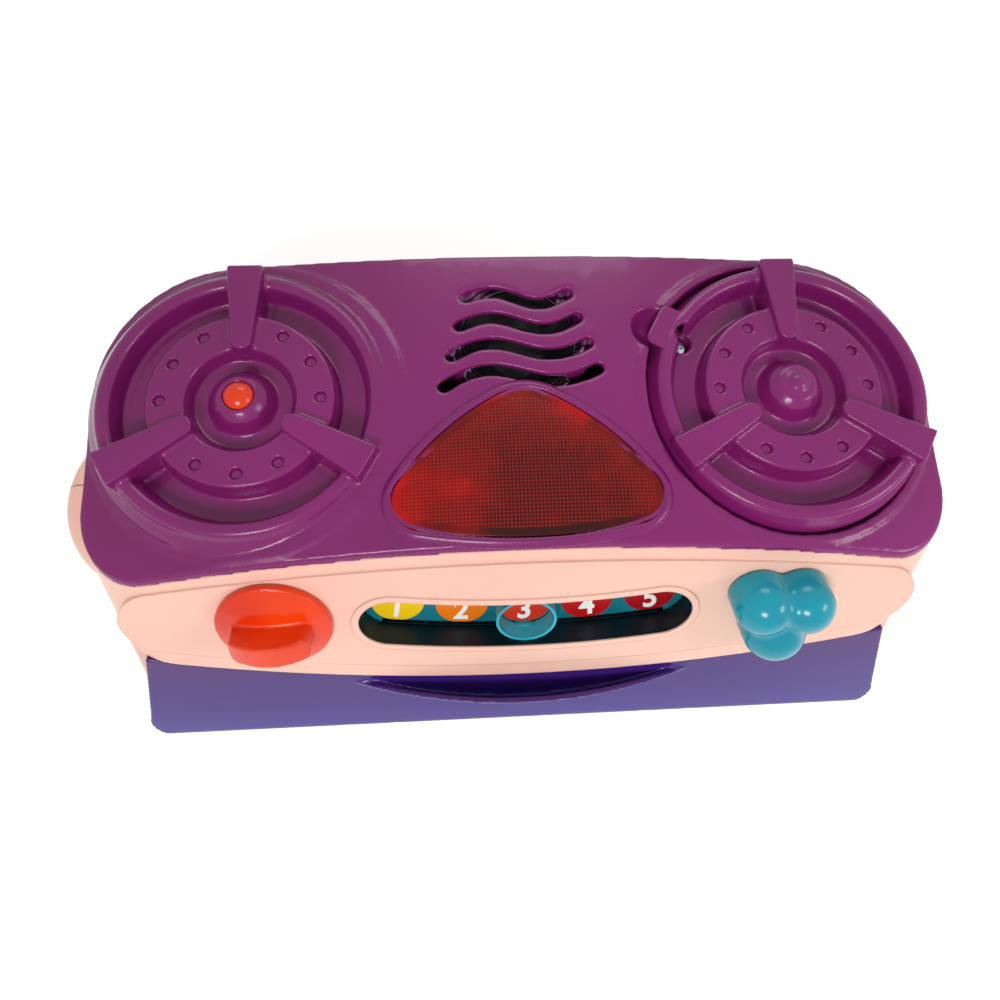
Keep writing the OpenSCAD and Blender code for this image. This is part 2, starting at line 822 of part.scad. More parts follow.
module battery_cover() {
    foot_z = well_floor + 0.2;
    color(plum) difference() {
        union() {
            at_right_burner() {
                burner(0, cover_r, burner_plane - foot_z);
                translate([0, 0, button_h - nub_r]) sphere(r = nub_r, $fn = 48);
            }
            difference() {
                translate([0, 0, tab_skirt_z]) linear_extrude(height = tab_top - tab_skirt_z)
                    tab_plan(0);
                translate([0, 0, tab_skirt_z - 1])
                    linear_extrude(height = tab_top - tab_skirt_z + 1 - burner_t)
                    tab_plan(-burner_t);
                translate([burner_x, 0, 0]) cylinder(r = crest_r, h = big, $fn = 144);
            }
            at_tab_screw() translate([0, 0, cover_seat_z - 1.5]) cylinder(r = screw_access_r + 1.6,
                h = burner_plane - moat_out_depth - 1 - cover_seat_z + 1.5, $fn = 48);
        }
        at_tab_screw() {
            translate([0, 0, cover_seat_z]) cylinder(r = screw_access_r, h = 40, $fn = 48);
            translate([0, 0, well_floor - 5]) cylinder(r = cover_screw_r + 0.3, h = 40, $fn = 24);
        }
    }
}

module battery_cover_screw() {
    color("silver") at_tab_screw() translate([0, 0, cover_seat_z]) rotate([180, 0, 0])
        screw(2.8, 1.8, cover_screw_r, cover_seat_z - well_floor + cover_screw_len - 2);
}

module battery_box() {
    top = well_floor - burner_t;
    color("dimgray") difference() {
        union() {
            translate([burner_x - box_half_x, -box_half_y, top - box_depth])
                cube([2 * box_half_x, 2 * box_half_y, box_depth]);
            translate([burner_x - box_half_x - 3, -box_half_y - 3, top - 2])
                cube([2 * box_half_x + 6, 2 * box_half_y + 6, 2]);
        }
        translate([burner_x - box_half_x + 2, -box_half_y + 2, top - box_depth + 2])
            cube([2 * box_half_x - 4, 2 * box_half_y - 4, box_depth]);
    }
}

module at_cells() {
    z = well_floor - burner_t - box_depth + 2 + 0.2 + cell_d / 2;
    for (i = [0:cell_count - 1]) {
        x = burner_x + (i - (cell_count - 1) / 2) * (cell_d + 0.4);
        translate([x, 0, z]) rotate([0, 0, 180 * (i % 2)]) children();
    }
}

module battery_cells() {
    color("darkslategray") at_cells() rotate([90, 0, 0]) {
        translate([0, 0, -cell_len / 2]) cylinder(r = cell_d / 2, h = cell_len, $fn = 48);
        translate([0, 0, cell_len / 2]) cylinder(r = 2.7, h = 1, $fn = 32);
    }
}

module battery_contacts() {
    end = box_half_y - 2;
    color("silver") at_cells() {
        translate([-5, -end, -5]) cube([10, 0.5, 10]);
        translate([-2, -end + 0.5, -2]) cube([4, end - 0.5 - cell_len / 2 - 1.1, 4]);
        translate([-5, end - 0.5, -5]) cube([10, 0.5, 10]);
        translate([0, cell_len / 2 + 0.1, 0]) rotate([-90, 0, 0])
            coil(3.2, 0.3, end - 0.7 - cell_len / 2, 2);
    }
}

module signal_lens() {
    color("red") difference() {
        intersection() {
            lens_prism(0);
            lens_dome(0);
        }
        crown_cap(hob_t - 0.05);
        intersection() {
            lens_prism(-lens_t);
            lens_dome(lens_t);
        }
    }
}

module lamp_reflector() {
    top_z = crown_z(0, lamp_y - lamp_top_r) - hob_t - lens_ledge - 0.2;
    r = lamp_top_r;
    color("white") translate([0, lamp_y, 0]) rotate_extrude($fn = 72) {
        polygon([[6, lamp_z], [8, lamp_z], [r, top_z - 2], [r + 2.5, top_z - 2],
            [r + 2.5, top_z], [r - 1.5, top_z], [6.6, lamp_z + 1.6], [6, lamp_z + 1.6]]);
    }
}

module lamp_bulb() {
    color("lightyellow") translate([0, lamp_y, lamp_z - 3]) {
        cylinder(r = 2.5, h = 8, $fn = 32);
        translate([0, 0, 8]) sphere(r = 2.5, $fn = 32);
        cylinder(r = 3, h = 1, $fn = 32);
    }
}

module lamp_holder() {
    color("black") translate([0, lamp_y, lamp_z - 9]) difference() {
        cylinder(r = 7, h = 9 - 0.1, $fn = 48);
        translate([0, 0, 5.9]) cylinder(r = 3.1, h = 10, $fn = 32);
    }
}

module speaker() {
    color("gray") translate([0, speaker_y, speaker_z]) rotate_extrude($fn = 96) polygon([
        [0, -18], [13, -18], [13, -10], [speaker_r - 4, 0], [speaker_r - 0.3, 0],
        [speaker_r - 0.3, 1.5], [speaker_r - 4, 1.5], [11, -9], [0, -9]]);
}

module speaker_cone() {
    color("black") translate([0, speaker_y, speaker_z]) rotate_extrude($fn = 96) polygon([
        [0, -8.6], [10.8, -8.6], [speaker_r - 4.6, 1.4], [speaker_r - 5.2, 1.4],
        [10.4, -8], [5, -6.4], [0, -6]]);
}

module speaker_clamp() {
    color("dimgray") translate([0, speaker_y, speaker_z]) rotate_extrude($fn = 96) polygon([
        [speaker_r - 2.6, -5], [speaker_r + 2.4, -5], [speaker_r + 2.4, -3.1],
        [speaker_r - 0.3, -3.1], [speaker_r - 0.3, -0.1], [speaker_r - 2.6, -0.1]]);
}

module pan_button() {
    dome_h = 2.6;
    dome_ball = (button_r * button_r + dome_h * dome_h) / (2 * dome_h);
    color("orangered") at_left_burner() {
        translate([0, 0, flange_top]) cylinder(r = button_r, h = button_h - dome_h - flange_top,
            $fn = 48);
        intersection() {
            cylinder(r = button_r, h = 10, $fn = 48);
            translate([0, 0, button_h - dome_ball]) sphere(r = dome_ball, $fn = 64);
            translate([-10, -10, flange_top]) cube(20);
        }
        translate([0, 0, flange_top - flange_t]) cylinder(r = flange_r, h = flange_t, $fn = 48);
        translate([0, 0, stem_end]) cylinder(r = 3, h = -stem_end + flange_top, $fn = 32);
    }
}

module pan_button_spring() {
    top = burner_plane + flange_top - flange_t;
    color("silver") translate([-burner_x, 0, guide_z]) coil(6, 0.4, top - guide_z, 6);
}

module button_retainer() {
    color("dimgray") translate([-burner_x, 0, guide_z - retainer_t]) difference() {
        union() {
            cylinder(r = guide_r + 2, h = retainer_t, $fn = 64);
            translate([-retainer_screw_x, -3, 0]) cube([2 * retainer_screw_x, 6, retainer_t]);
            for (side = [-1, 1]) translate([side * retainer_screw_x, 0, 0])
                cylinder(r = 3, h = retainer_t, $fn = 32);
        }
        for (side = [-1, 1]) translate([side * retainer_screw_x, 0, -1])
            cylinder(r = screw_r + 0.2, h = 10, $fn = 24);
    }
}

module retainer_screws() {
    color("silver") for (side = [-1, 1])
        translate([-burner_x + side * retainer_screw_x, 0, guide_z - retainer_t])
            screw(2.4, 1.6, screw_r, 9);
}

module pan_switch() {
    size = 6;
    body_h = 3.6;
    plunger_top = burner_plane + stem_end - button_travel - 0.1;
    color("black") translate([-burner_x, 0, guide_z]) {
        translate([-size / 2, -size / 2, 0]) cube([size, size, body_h]);
        cylinder(r = 1.7, h = plunger_top - guide_z, $fn = 32);
    }
}

// Screw post joined to the side wall by a rib
module wall_post(x, y) {
    reach = half_w - wall / 2 - abs(x);
    translate([x, y, base_boss_top + free])
        cylinder(r = post_r, h = post_top - base_boss_top - free, $fn = 32);
    translate([x > 0 ? x : x - reach, y - 1, base_boss_top + free])
        cube([reach, 2, post_top - base_boss_top - free]);
}

module front_base_places() {
    for (side = [-1, 1]) translate([side * base_post_x, base_post_front, 0]) children();
}

module rear_base_places() {
    for (side = [-1, 1]) for (y = [base_post_mid, base_post_back])
        translate([side * base_post_x, y, 0]) children();
}

// Shelf on the wall that a hob post lands on, from y out to the wall at wall_y
module hob_shelf(x, y, wall_y) {
    r = hob_post_r + 1.5;
    translate([x, y, hob_post_z - 3]) cylinder(r = r, h = 3, $fn = 32);
    translate([x - r, min(y, wall_y), hob_post_z - 3]) cube([2 * r, abs(wall_y - y), 3]);
}

module knob_bushing(side) {
    at_knob(side) {
        translate([0, 0, 0.2 - cam_top]) cylinder(r = shaft_r + 3.4,
            h = cam_top - 0.2 - wall / 2, $fn = 48);
        for (x = [-leaf_post_x, leaf_post_x]) translate([x, -leaf_post_s, -cam_top - cam_t])
            cylinder(r = 1.8, h = cam_top + cam_t - wall / 2, $fn = 24);
    }
}

module board_post_places() {
    on_fascia() for (side = [-1, 1]) for (s = [board_post_low, board_post_high])
        translate([side * board_post_x, s, 0]) children();
}

module along_x(r, from, to) {
    axis = fascia_point(0, hinge_s, hinge_n);
    translate([from, axis[1], axis[2]]) rotate([0, 90, 0])
        cylinder(r = r, h = to - from, $fn = 48);
}

module hinge_ears() {
    axis = fascia_point(0, hinge_s, hinge_n);
    r = knuckle_r;
    for (side = [-1, 1]) for (x = [side * hinge_x - knuckle_half - free - ear_t,
        side * hinge_x + knuckle_half + free]) {
        along_x(r, x, x + ear_t);
        translate([x, axis[1], axis[2] - r]) cube([ear_t, sill_y + wall / 2 - axis[1], 2 * r]);
    }
}

module housing_shell() {
    difference() {
        union() {
            difference() {
                union() {
                    housing_block();
                    raised_panel();
                }
                housing_inside(0);
            }
            difference() {
                lug_body(0);
                body_block(wall / 2);
            }
        }
        lug_hollow();
        translate([-cavity_half, -120, cavity_z])
            cube([2 * cavity_half, 45, mouth_top - cavity_z]);
    }
}

module front_housing() {
    color(blush) difference() {
        union() {
            intersection() {
                housing_shell();
                translate([-big / 2, -big - parting - seam / 2, -20]) cube([big, big, big]);
            }
            for (side = [-1, 1]) {
                wall_post(side * base_post_x, base_post_front);
                hob_shelf(side * hob_post_x, hob_post_front,
                    fascia_y(hob_post_z - 1.5, -wall / 2));
                knob_bushing(side);
            }
            board_post_places() translate([0, 0, front_board_n + 0.1])
                cylinder(r = 2.6, h = -front_board_n - 0.1 - wall / 2, $fn = 24);
            hinge_ears();
            on_fascia() translate([0, 0, -wall / 2])
                linear_extrude(height = wall / 2 + panel_h + rim_h) slot_region(rim_w);
        }
        on_fascia() translate([0, 0, -wall - 5]) linear_extrude(height = 20) slot_region(0);
        for (side = [-1, 1]) at_knob(side) translate([0, 0, -30])
            cylinder(r = shaft_r + shaft_clear, h = 40, $fn = 48);
        front_base_places() cylinder(r = pilot_r, h = 22, $fn = 24);
        for (side = [-1, 1]) translate([side * hob_post_x, hob_post_front, hob_post_z - 10])
            cylinder(r = screw_r + 0.2, h = 20, $fn = 24);
        board_post_places() translate([0, 0, front_board_n - 1])
            cylinder(r = 0.9, h = 8, $fn = 24);
        for (side = [-1, 1]) along_x(pin_r + 0.02, side * hinge_x - 12, side * hinge_x + 12);
    }
}

module rear_housing() {
    color(blush) difference() {
        union() {
            intersection() {
                housing_shell();
                translate([-big / 2, -parting + seam / 2, -20]) cube([big, big, big]);
            }
            for (side = [-1, 1]) {
                wall_post(side * base_post_x, base_post_mid);
                wall_post(side * base_post_x, base_post_back);
                hob_shelf(side * hob_post_x, hob_post_back, body_back - wall / 2);
            }
        }
        rear_base_places() cylinder(r = pilot_r, h = 22, $fn = 24);
        for (side = [-1, 1]) translate([side * hob_post_x, hob_post_back, hob_post_z - 10])
            cylinder(r = screw_r + 0.2, h = 20, $fn = 24);
    }
}

module hob_screws() {
    color("silver") hob_post_places() translate([0, 0, hob_post_z - 3])
        screw(2.6, 1.8, screw_r, 11);
}

module all_base_places() {
    front_base_places() children();
    rear_base_places() children();
}

module base_plate() {
    color(blush) difference() {
        union() {
            intersection() {
                housing_inside(free);
                translate([-big / 2, -big / 2, 0]) cube([big, big, base_t]);
            }
            all_base_places() cylinder(r = post_r + 1, h = base_boss_top, $fn = 32);
        }
        all_base_places() {
            translate([0, 0, -1]) cylinder(r = 3.2, h = 5.2, $fn = 32);
            translate([0, 0, -1]) cylinder(r = screw_r + 0.25, h = 20, $fn = 24);
        }
    }
}

module base_screws() {
    color("silver") all_base_places() translate([0, 0, 4.2]) screw(2.8, 2, screw_r, 16);
}

module board_corners() {
    for (x = [4 - board_half_x, board_half_x - 4]) for (y = [board_front + 4, board_back - 4])
        translate([x, y, 0]) children();
}

module oven_liner() {
    t = liner_t;
    roof = cavity_z + cavity_h;
    color("gainsboro") difference() {
        union() {
            intersection() {
                translate([-cavity_half - t, -120, cavity_z - t])
                    cube([2 * (cavity_half + t), 120 + cavity_back + t, cavity_h + 2 * t]);
                housing_inside(free);
            }
            board_corners() translate([0, 0, roof + t / 2])
                cylinder(r = 3, h = main_board_z - roof - t / 2 - 0.1, $fn = 24);
            board_corners() translate([0, 0, base_t + 0.1])
                cylinder(r = 6, h = cavity_z - t / 2 - base_t - 0.1, $fn = 32);
        }
        translate([-cavity_half, -130, cavity_z]) cube([2 * cavity_half, 130 + cavity_back,
            cavity_h]);
        board_corners() translate([0, 0, main_board_z - 8]) cylinder(r = 0.9, h = 10, $fn = 24);
    }
}

// Outline of the oven door in the plane of the fascia, drawn in by d: wider at its foot
module door_outline(d) {
    r = door_corner_r - d;
    w = door_half - d;
    foot = door_foot_s + d;
    top_s = -20;
    top_w = door_half_top - d;
    difference() {
        union() {
            polygon([[-w, foot + r], [w, foot + r], [top_w, top_s], [-top_w, top_s]]);
            translate([-w + r, foot]) square([2 * (w - r), 20]);
            for (side = [-1, 1]) translate([side * (w - r), foot + r]) circle(r = r, $fn = 64);
        }
        translate([0, smile_r - fascia_drop - door_top_gap - d]) circle(r = smile_r, $fn = 720);
    }
}

module door_slab(d, from, to) {
    on_fascia() translate([0, 0, from]) linear_extrude(height = to - from) door_outline(d);
}

// Ball that shapes the finger lip, drawn in by d: it meets the door's face at the lip's
// two ends and at its foot, and stands proud by the lip's reach at its upper edge
module lip_ball(d) {
    foot = lip_top_s - lip_drop;
    h = lip_reach + door_sink;
    edge_r = (lip_half * lip_half + h * h) / (2 * h);
    ball_n = lip_reach - edge_r;
    drop = -door_sink - ball_n;
    ball_s = (foot * foot - lip_top_s * lip_top_s - edge_r * edge_r + drop * drop)
        / (2 * (foot - lip_top_s));
    ball_r = norm([lip_top_s - ball_s, edge_r]);
    on_fascia() translate([0, ball_s, ball_n]) sphere(r = ball_r - d, $fn = 360);
}

// Part of the fascia's frame above a line across it, from low to high out of the fascia
module fascia_band(from, low, high) {
    on_fascia() translate([-half_w - 5, from, low]) cube([body_w + 10, 120, high - low]);
}

// Room in the door's foot for a hinge ear and its arm while the door swings
module ear_room(x) {
    r = knuckle_r + 0.5;
    past = pin_r + 0.2;
    along_x(r, x - free - 0.1, x + ear_t + free + 0.1);
    on_fascia() translate([x - free, hinge_s - 8, hinge_n - 10]) {
        cube([ear_t + 2 * free, 13.5, 10 + past]);
        translate([-0.2, 0, 0]) cube([ear_t + 2 * free + 0.4, 8 + past, 10.1 + r]);
    }
}

module oven_door() {
    face = -door_sink;
    back = face - door_depth;
    color("mediumslateblue") difference() {
        union() {
            intersection() {
                door_slab(0, back, face);
                fascia_band(hinge_s, -20, 10);
            }
            intersection() {
                lip_ball(0);
                on_fascia() translate([-lip_half - 20, lip_top_s - 40, face - door_wall])
                    cube([2 * lip_half + 40, 40, 40]);
            }
            // Rolled foot, round about the hinge line
            intersection() {
                door_slab(0, -20, 10);
                along_x(door_foot_r, -half_w, half_w);
            }
        }
        intersection() {
            door_slab(door_wall, back - 1, face - door_wall);
            fascia_band(hinge_s + door_foot_r, -20, 10);
        }
        intersection() {
            lip_ball(door_wall);
            fascia_band(-100, face - 0.3, 40);
        }
        for (side = [-1, 1]) {
            along_x(pin_r + 0.05, side * hinge_x - ear_far, side * hinge_x + ear_far);
            ear_room(side * hinge_x - knuckle_half - free - ear_t);
            ear_room(side * hinge_x + knuckle_half + free);
        }
    }
}

module door_hinge_pins() {
    color("silver") for (side = [-1, 1]) along_x(pin_r, side * hinge_x - 11.3,
        side * hinge_x + 11.3);
}

module knob_shaft() {
    difference() {
        translate([0, 0, -cam_top]) cylinder(r = shaft_r, h = cam_top + panel_h + knob_gap + 1,
            $fn = 48);
        translate([0, 0, -cam_top - 1]) cylinder(r = pilot_r, h = 9, $fn = 24);
    }
}

module oven_knob() {
    edge_h = 2.5;
    dome_h = 6;
    rise = dome_h - edge_h;
    ball_r = (knob_r * knob_r + rise * rise) / (2 * rise);
    crown = grip_len * 0.9;
    color("orangered") at_knob(-1) {
        knob_shaft();
        translate([0, 0, panel_h + knob_gap]) {
            cylinder(r = knob_r, h = edge_h, $fn = 96);
            intersection() {
                cylinder(r = knob_r, h = 20, $fn = 96);
                translate([0, 0, dome_h - ball_r]) sphere(r = ball_r, $fn = 144);
                translate([-30, -30, edge_h - 1]) cube([60, 60, 20]);
            }
            intersection() {
                linear_extrude(height = grip_h) {
                    square([grip_len - grip_t + 4, grip_t], center = true);
                    square([grip_len, grip_t - 4], center = true);
                    for (x = [-1, 1]) for (y = [-1, 1])
                        translate([x * (grip_len / 2 - 2), y * (grip_t / 2 - 2)])
                        circle(r = 2, $fn = 32);
                }
                translate([0, 20, grip_h - crown]) rotate([90, 0, 0])
                    cylinder(r = crown, h = 40, $fn = 144);
            }
        }
    }
}

// Upright lobe of radius r with a round top; every lobe ends at the same height
module knob_lobe(pitch, r) {
    h = lobe_h + lobe_r - r;
    translate([pitch, 0, 0]) {
        cylinder(r = r, h = h, $fn = 64);
        translate([0, 0, h]) intersection() {
            sphere(r = r, $fn = 64);
            translate([-20, -20, 0]) cube([40, 40, 20]);
        }
    }
}

module clover_knob() {
    base = panel_h + knob_gap;
    color("teal") at_knob(1) {
        knob_shaft();
        translate([0, 0, base]) {
            for (a = [45, 135]) rotate(a) knob_lobe(lobe_pitch_r, lobe_r);
            rotate(270) knob_lobe(chin_pitch_r, chin_r);
            cylinder(r = lobe_r * 0.75, h = lobe_h + 4, $fn = 48);
            cylinder(r = 6, h = lobe_h + 7, $fn = 48);
        }
    }
}

module cam_wheel() {
    difference() {
        translate([0, 0, -cam_top - cam_t]) cylinder(r = cam_r, h = cam_t, $fn = 64);
        translate([0, 0, -cam_top - cam_t - 1]) cylinder(r = screw_r + 0.1, h = 10, $fn = 24);
        for (a = [0:45:315]) rotate(a) translate([0, -cam_r - 0.8, -cam_top - cam_t - 1])
            cylinder(r = 1.6, h = cam_t + 2, $fn = 24);
    }
}

module oven_knob_cam() {
    color("white") at_knob(-1) cam_wheel();
}

module clover_knob_cam() {
    color("white") at_knob(1) cam_wheel();
}

module oven_knob_screw() {
    color("silver") at_knob(-1) translate([0, 0, -cam_top - cam_t])
        screw(2.8, 1.8, screw_r, 10);
}

module clover_knob_screw() {
    color("silver") at_knob(1) translate([0, 0, -cam_top - cam_t])
        screw(2.8, 1.8, screw_r, 10);
}

module cam_leaf_springs() {
    color("silver") for (side = [-1, 1]) at_knob(side)
        translate([-leaf_post_x - 1.8, -cam_r - 0.9, -cam_top - cam_t])
            cube([2 * leaf_post_x + 3.6, 0.5, cam_t]);
}

// Place of the slider along its path, in the frame of the fascia
module on_path(angle) {
    on_fascia() translate([0, path_r - path_drop, 0]) rotate(angle)
        translate([0, -path_r, 0]) children();
}

module slider_ring() {
    foot_n = label_depth + 3;
    color("turquoise") {
        on_path(0) difference() {
            translate([0, 0, 0.4 - label_depth]) cylinder(r = ring_r,
                h = label_depth - 0.4 + panel_h + rim_h - ring_sink, $fn = 96);
            translate([0, 0, -label_depth]) cylinder(r = ring_r - ring_wall, h = 30, $fn = 96);
        }
        on_fascia() translate([0, 0, -foot_n]) linear_extrude(height = foot_n - label_depth + 2)
            foot_band(foot_half, 0.6);
        on_path(0) translate([-8, -16, -foot_n - 1.6]) cube([16, 12, 1.7]);
    }
}

module slider_wiper() {
    top = -label_depth - 4.6;
    color("gold") on_path(0) for (x = [-5, 0, 5])
        translate([x - 0.8, -15, slider_back]) cube([1.6, 0.4, top - slider_back]);
}

module slider_tray() {
    floor_n = -label_depth - 0.3;
    color("darkcyan") on_fascia() difference() {
        union() {
            translate([0, 0, floor_n - tray_t])
                linear_extrude(height = -wall - 0.1 - floor_n + tray_t) slot_region(tray_t);
            translate([0, 0, -wall - 1.6]) linear_extrude(height = 1.5) slot_region(4);
        }
        translate([0, 0, floor_n]) linear_extrude(height = 30) slot_region(0);
        translate([0, 0, floor_n - 5]) linear_extrude(height = 30) slit_region();
    }
}

module number_label() {
    color("paleturquoise") on_fascia() translate([0, 0, -label_depth - 0.3])
        linear_extrude(height = 0.3) difference() {
            slot_region(-0.3);
            slit_region();
        }
}

module number_discs() {
    color("gold") on_fascia() translate([0, 0, -label_depth]) linear_extrude(height = 0.12)
        difference() {
            translate([0, path_r - path_drop]) for (i = [0:disc_count - 1])
                rotate(asin((i - (disc_count - 1) / 2) * disc_pitch / path_r))
                translate([0, -path_r]) circle(r = disc_r, $fn = 64);
            slit_region();
        }
}

module front_board() {
    color("darkgreen") on_fascia() translate([-front_board_half, front_board_low,
        front_board_n - board_t]) difference() {
            cube([2 * front_board_half, front_board_high - front_board_low, board_t]);
            for (side = [-1, 1]) for (s = [board_post_low, board_post_high])
                translate([front_board_half + side * board_post_x, s - front_board_low, -1])
                cylinder(r = 1.1, h = 5, $fn = 24);
        }
}

module board_screws() {
    color("silver") {
        board_post_places() translate([0, 0, front_board_n - board_t]) screw(1.8, 1.2, 0.8, 6);
        board_corners() translate([0, 0, main_board_z + board_t]) rotate([180, 0, 0])
            screw(1.8, 1.2, 0.8, 7);
    }
}

module main_board() {
    color("darkgreen") difference() {
        translate([-board_half_x, board_front, main_board_z])
            cube([2 * board_half_x, board_back - board_front, board_t]);
        board_corners() translate([0, 0, main_board_z - 1]) cylinder(r = 1.1, h = 5, $fn = 24);
    }
}

module board_components() {
    color("black") translate([0, 0, main_board_z + board_t]) {
        translate([-10, 0, 0]) cube([16, 12, 2.2]);
        translate([22, 18, 0]) cylinder(r = 4, h = 9, $fn = 32);
        translate([34, 18, 0]) cylinder(r = 3, h = 7, $fn = 32);
        translate([-40, 10, 0]) cube([8, 5, 3]);
        translate([-30, -18, 0]) cube([12, 4, 3]);
        translate([8, -22, 0]) cube([14, 5, 4]);
    }
}

module battery_leads() {
    end_y = box_half_y - 12;
    low = main_board_z + board_t;
    color("crimson") for (i = [0, 1]) {
        x = burner_x - box_half_x + 4;
        y = end_y - 4 * i;
        lead([[x, y, well_floor - burner_t - box_depth], [x, y, low + 6],
            [board_half_x - 6, y, low + 6], [board_half_x - 6, y, low]], lead_r);
    }
}

module speaker_leads() {
    color("crimson") for (x = [-4, 4])
        lead([[x, speaker_y, speaker_z - 18], [x, speaker_y, main_board_z + board_t]], lead_r);
}

module lamp_leads() {
    color("crimson") for (x = [-2, 2]) lead([[x, lamp_y + 4, lamp_z - 9],
        [x, lamp_y + 4, main_board_z + board_t]], lead_r);
}

module board_leads() {
    z = main_board_z + board_t / 2;
    y = fascia_y(z, front_board_n - board_t) + lead_r * tan(90 - fascia_slope) + 0.05;
    color("crimson") for (i = [-2:2])
        lead([[8 * i, y, z], [8 * i, board_front, z]], lead_r);
}

module switch_leads() {
    low = main_board_z + board_t;
    x = 14 - board_half_x;
    color("crimson") for (y = [-2, 2])
        lead([[-burner_x, y, guide_z - retainer_t], [-burner_x, y, low + 14],
            [x, y, low + 14], [x, y, low]], lead_r);
}

hob_top();
battery_cover();
battery_cover_screw();
battery_box();
battery_cells();
battery_contacts();
signal_lens();
lamp_reflector();
lamp_bulb();
lamp_holder();
speaker();
speaker_cone();
speaker_clamp();
pan_button();
pan_button_spring();
button_retainer();
pan_switch();
front_housing();
rear_housing();
base_plate();
oven_liner();
oven_door();
door_hinge_pins();
oven_knob();
oven_knob_cam();
oven_knob_screw();
clover_knob();
clover_knob_cam();
clover_knob_screw();
cam_leaf_springs();
slider_ring();
slider_wiper();
slider_tray();
number_label();
number_discs();
front_board();
main_board();
board_components();
battery_leads();
speaker_leads();
lamp_leads();
hob_screws();
base_screws();
retainer_screws();
board_screws();
board_leads();
switch_leads();
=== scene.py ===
import math

import bmesh
import bpy
import numpy as np
from mathutils import Matrix, Vector
from mathutils.kdtree import KDTree


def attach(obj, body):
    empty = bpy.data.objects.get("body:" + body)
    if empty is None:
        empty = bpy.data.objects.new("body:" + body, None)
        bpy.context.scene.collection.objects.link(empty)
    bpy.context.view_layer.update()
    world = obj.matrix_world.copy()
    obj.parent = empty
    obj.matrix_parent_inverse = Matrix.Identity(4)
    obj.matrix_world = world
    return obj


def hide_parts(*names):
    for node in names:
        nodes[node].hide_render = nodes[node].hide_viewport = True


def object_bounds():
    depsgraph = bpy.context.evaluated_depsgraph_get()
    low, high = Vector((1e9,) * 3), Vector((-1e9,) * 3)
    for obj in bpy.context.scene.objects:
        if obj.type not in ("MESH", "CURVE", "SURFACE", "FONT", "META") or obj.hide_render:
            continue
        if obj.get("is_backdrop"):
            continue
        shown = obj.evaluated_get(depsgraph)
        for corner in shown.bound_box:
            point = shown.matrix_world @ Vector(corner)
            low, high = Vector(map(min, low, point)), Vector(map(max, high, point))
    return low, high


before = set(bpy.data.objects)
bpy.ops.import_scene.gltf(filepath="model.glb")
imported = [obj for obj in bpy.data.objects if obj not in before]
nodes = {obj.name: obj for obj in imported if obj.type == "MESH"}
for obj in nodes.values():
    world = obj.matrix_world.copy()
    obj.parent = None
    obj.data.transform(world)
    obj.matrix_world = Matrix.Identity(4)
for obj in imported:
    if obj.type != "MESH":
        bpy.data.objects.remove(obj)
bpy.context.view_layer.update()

mm = 0.001


# Linear colour of an sRGB hex code
def linearOf(code):
    channels = [int(code[i:i + 2], 16) / 255 for i in (1, 3, 5)]
    low = [c / 12.92 if c <= 0.04045 else ((c + 0.055) / 1.055) ** 2.4 for c in channels]
    return (*low, 1.0)


# Shader node with its values and incoming links
def addNode(tree, kind, links=(), **settings):
    node = tree.nodes.new("ShaderNode" + kind)
    for key, value in settings.items():
        if key in node.inputs:
            node.inputs[key].default_value = value
        else:
            setattr(node, key, value)
    for source, target in links:
        tree.links.new(source, node.inputs[target])
    return node


# Colour ramp over a source, from pairs of place and hex code
def rampOf(tree, source, stops):
    ramp = addNode(tree, "ValToRGB", [(source, "Fac")])
    while len(ramp.color_ramp.elements) < len(stops):
        ramp.color_ramp.elements.new(0.5)
    for element, (place, code) in zip(ramp.color_ramp.elements, stops):
        element.position = place
        element.color = linearOf(code)
    return ramp.outputs["Color"]


# Ranges of the two noises, spread of the gloss, and depth of the grain
noiseRange = {"toneLow": 0.32, "toneHigh": 0.7, "glossLow": 0.35, "glossHigh": 0.7}
glossSpread = {"least": 0.85, "most": 1.2}
grainDepthMm = 0.05
paintedShadingShare = 0.75  # how much of the painted highlight and shade along the height covers the drift of tone
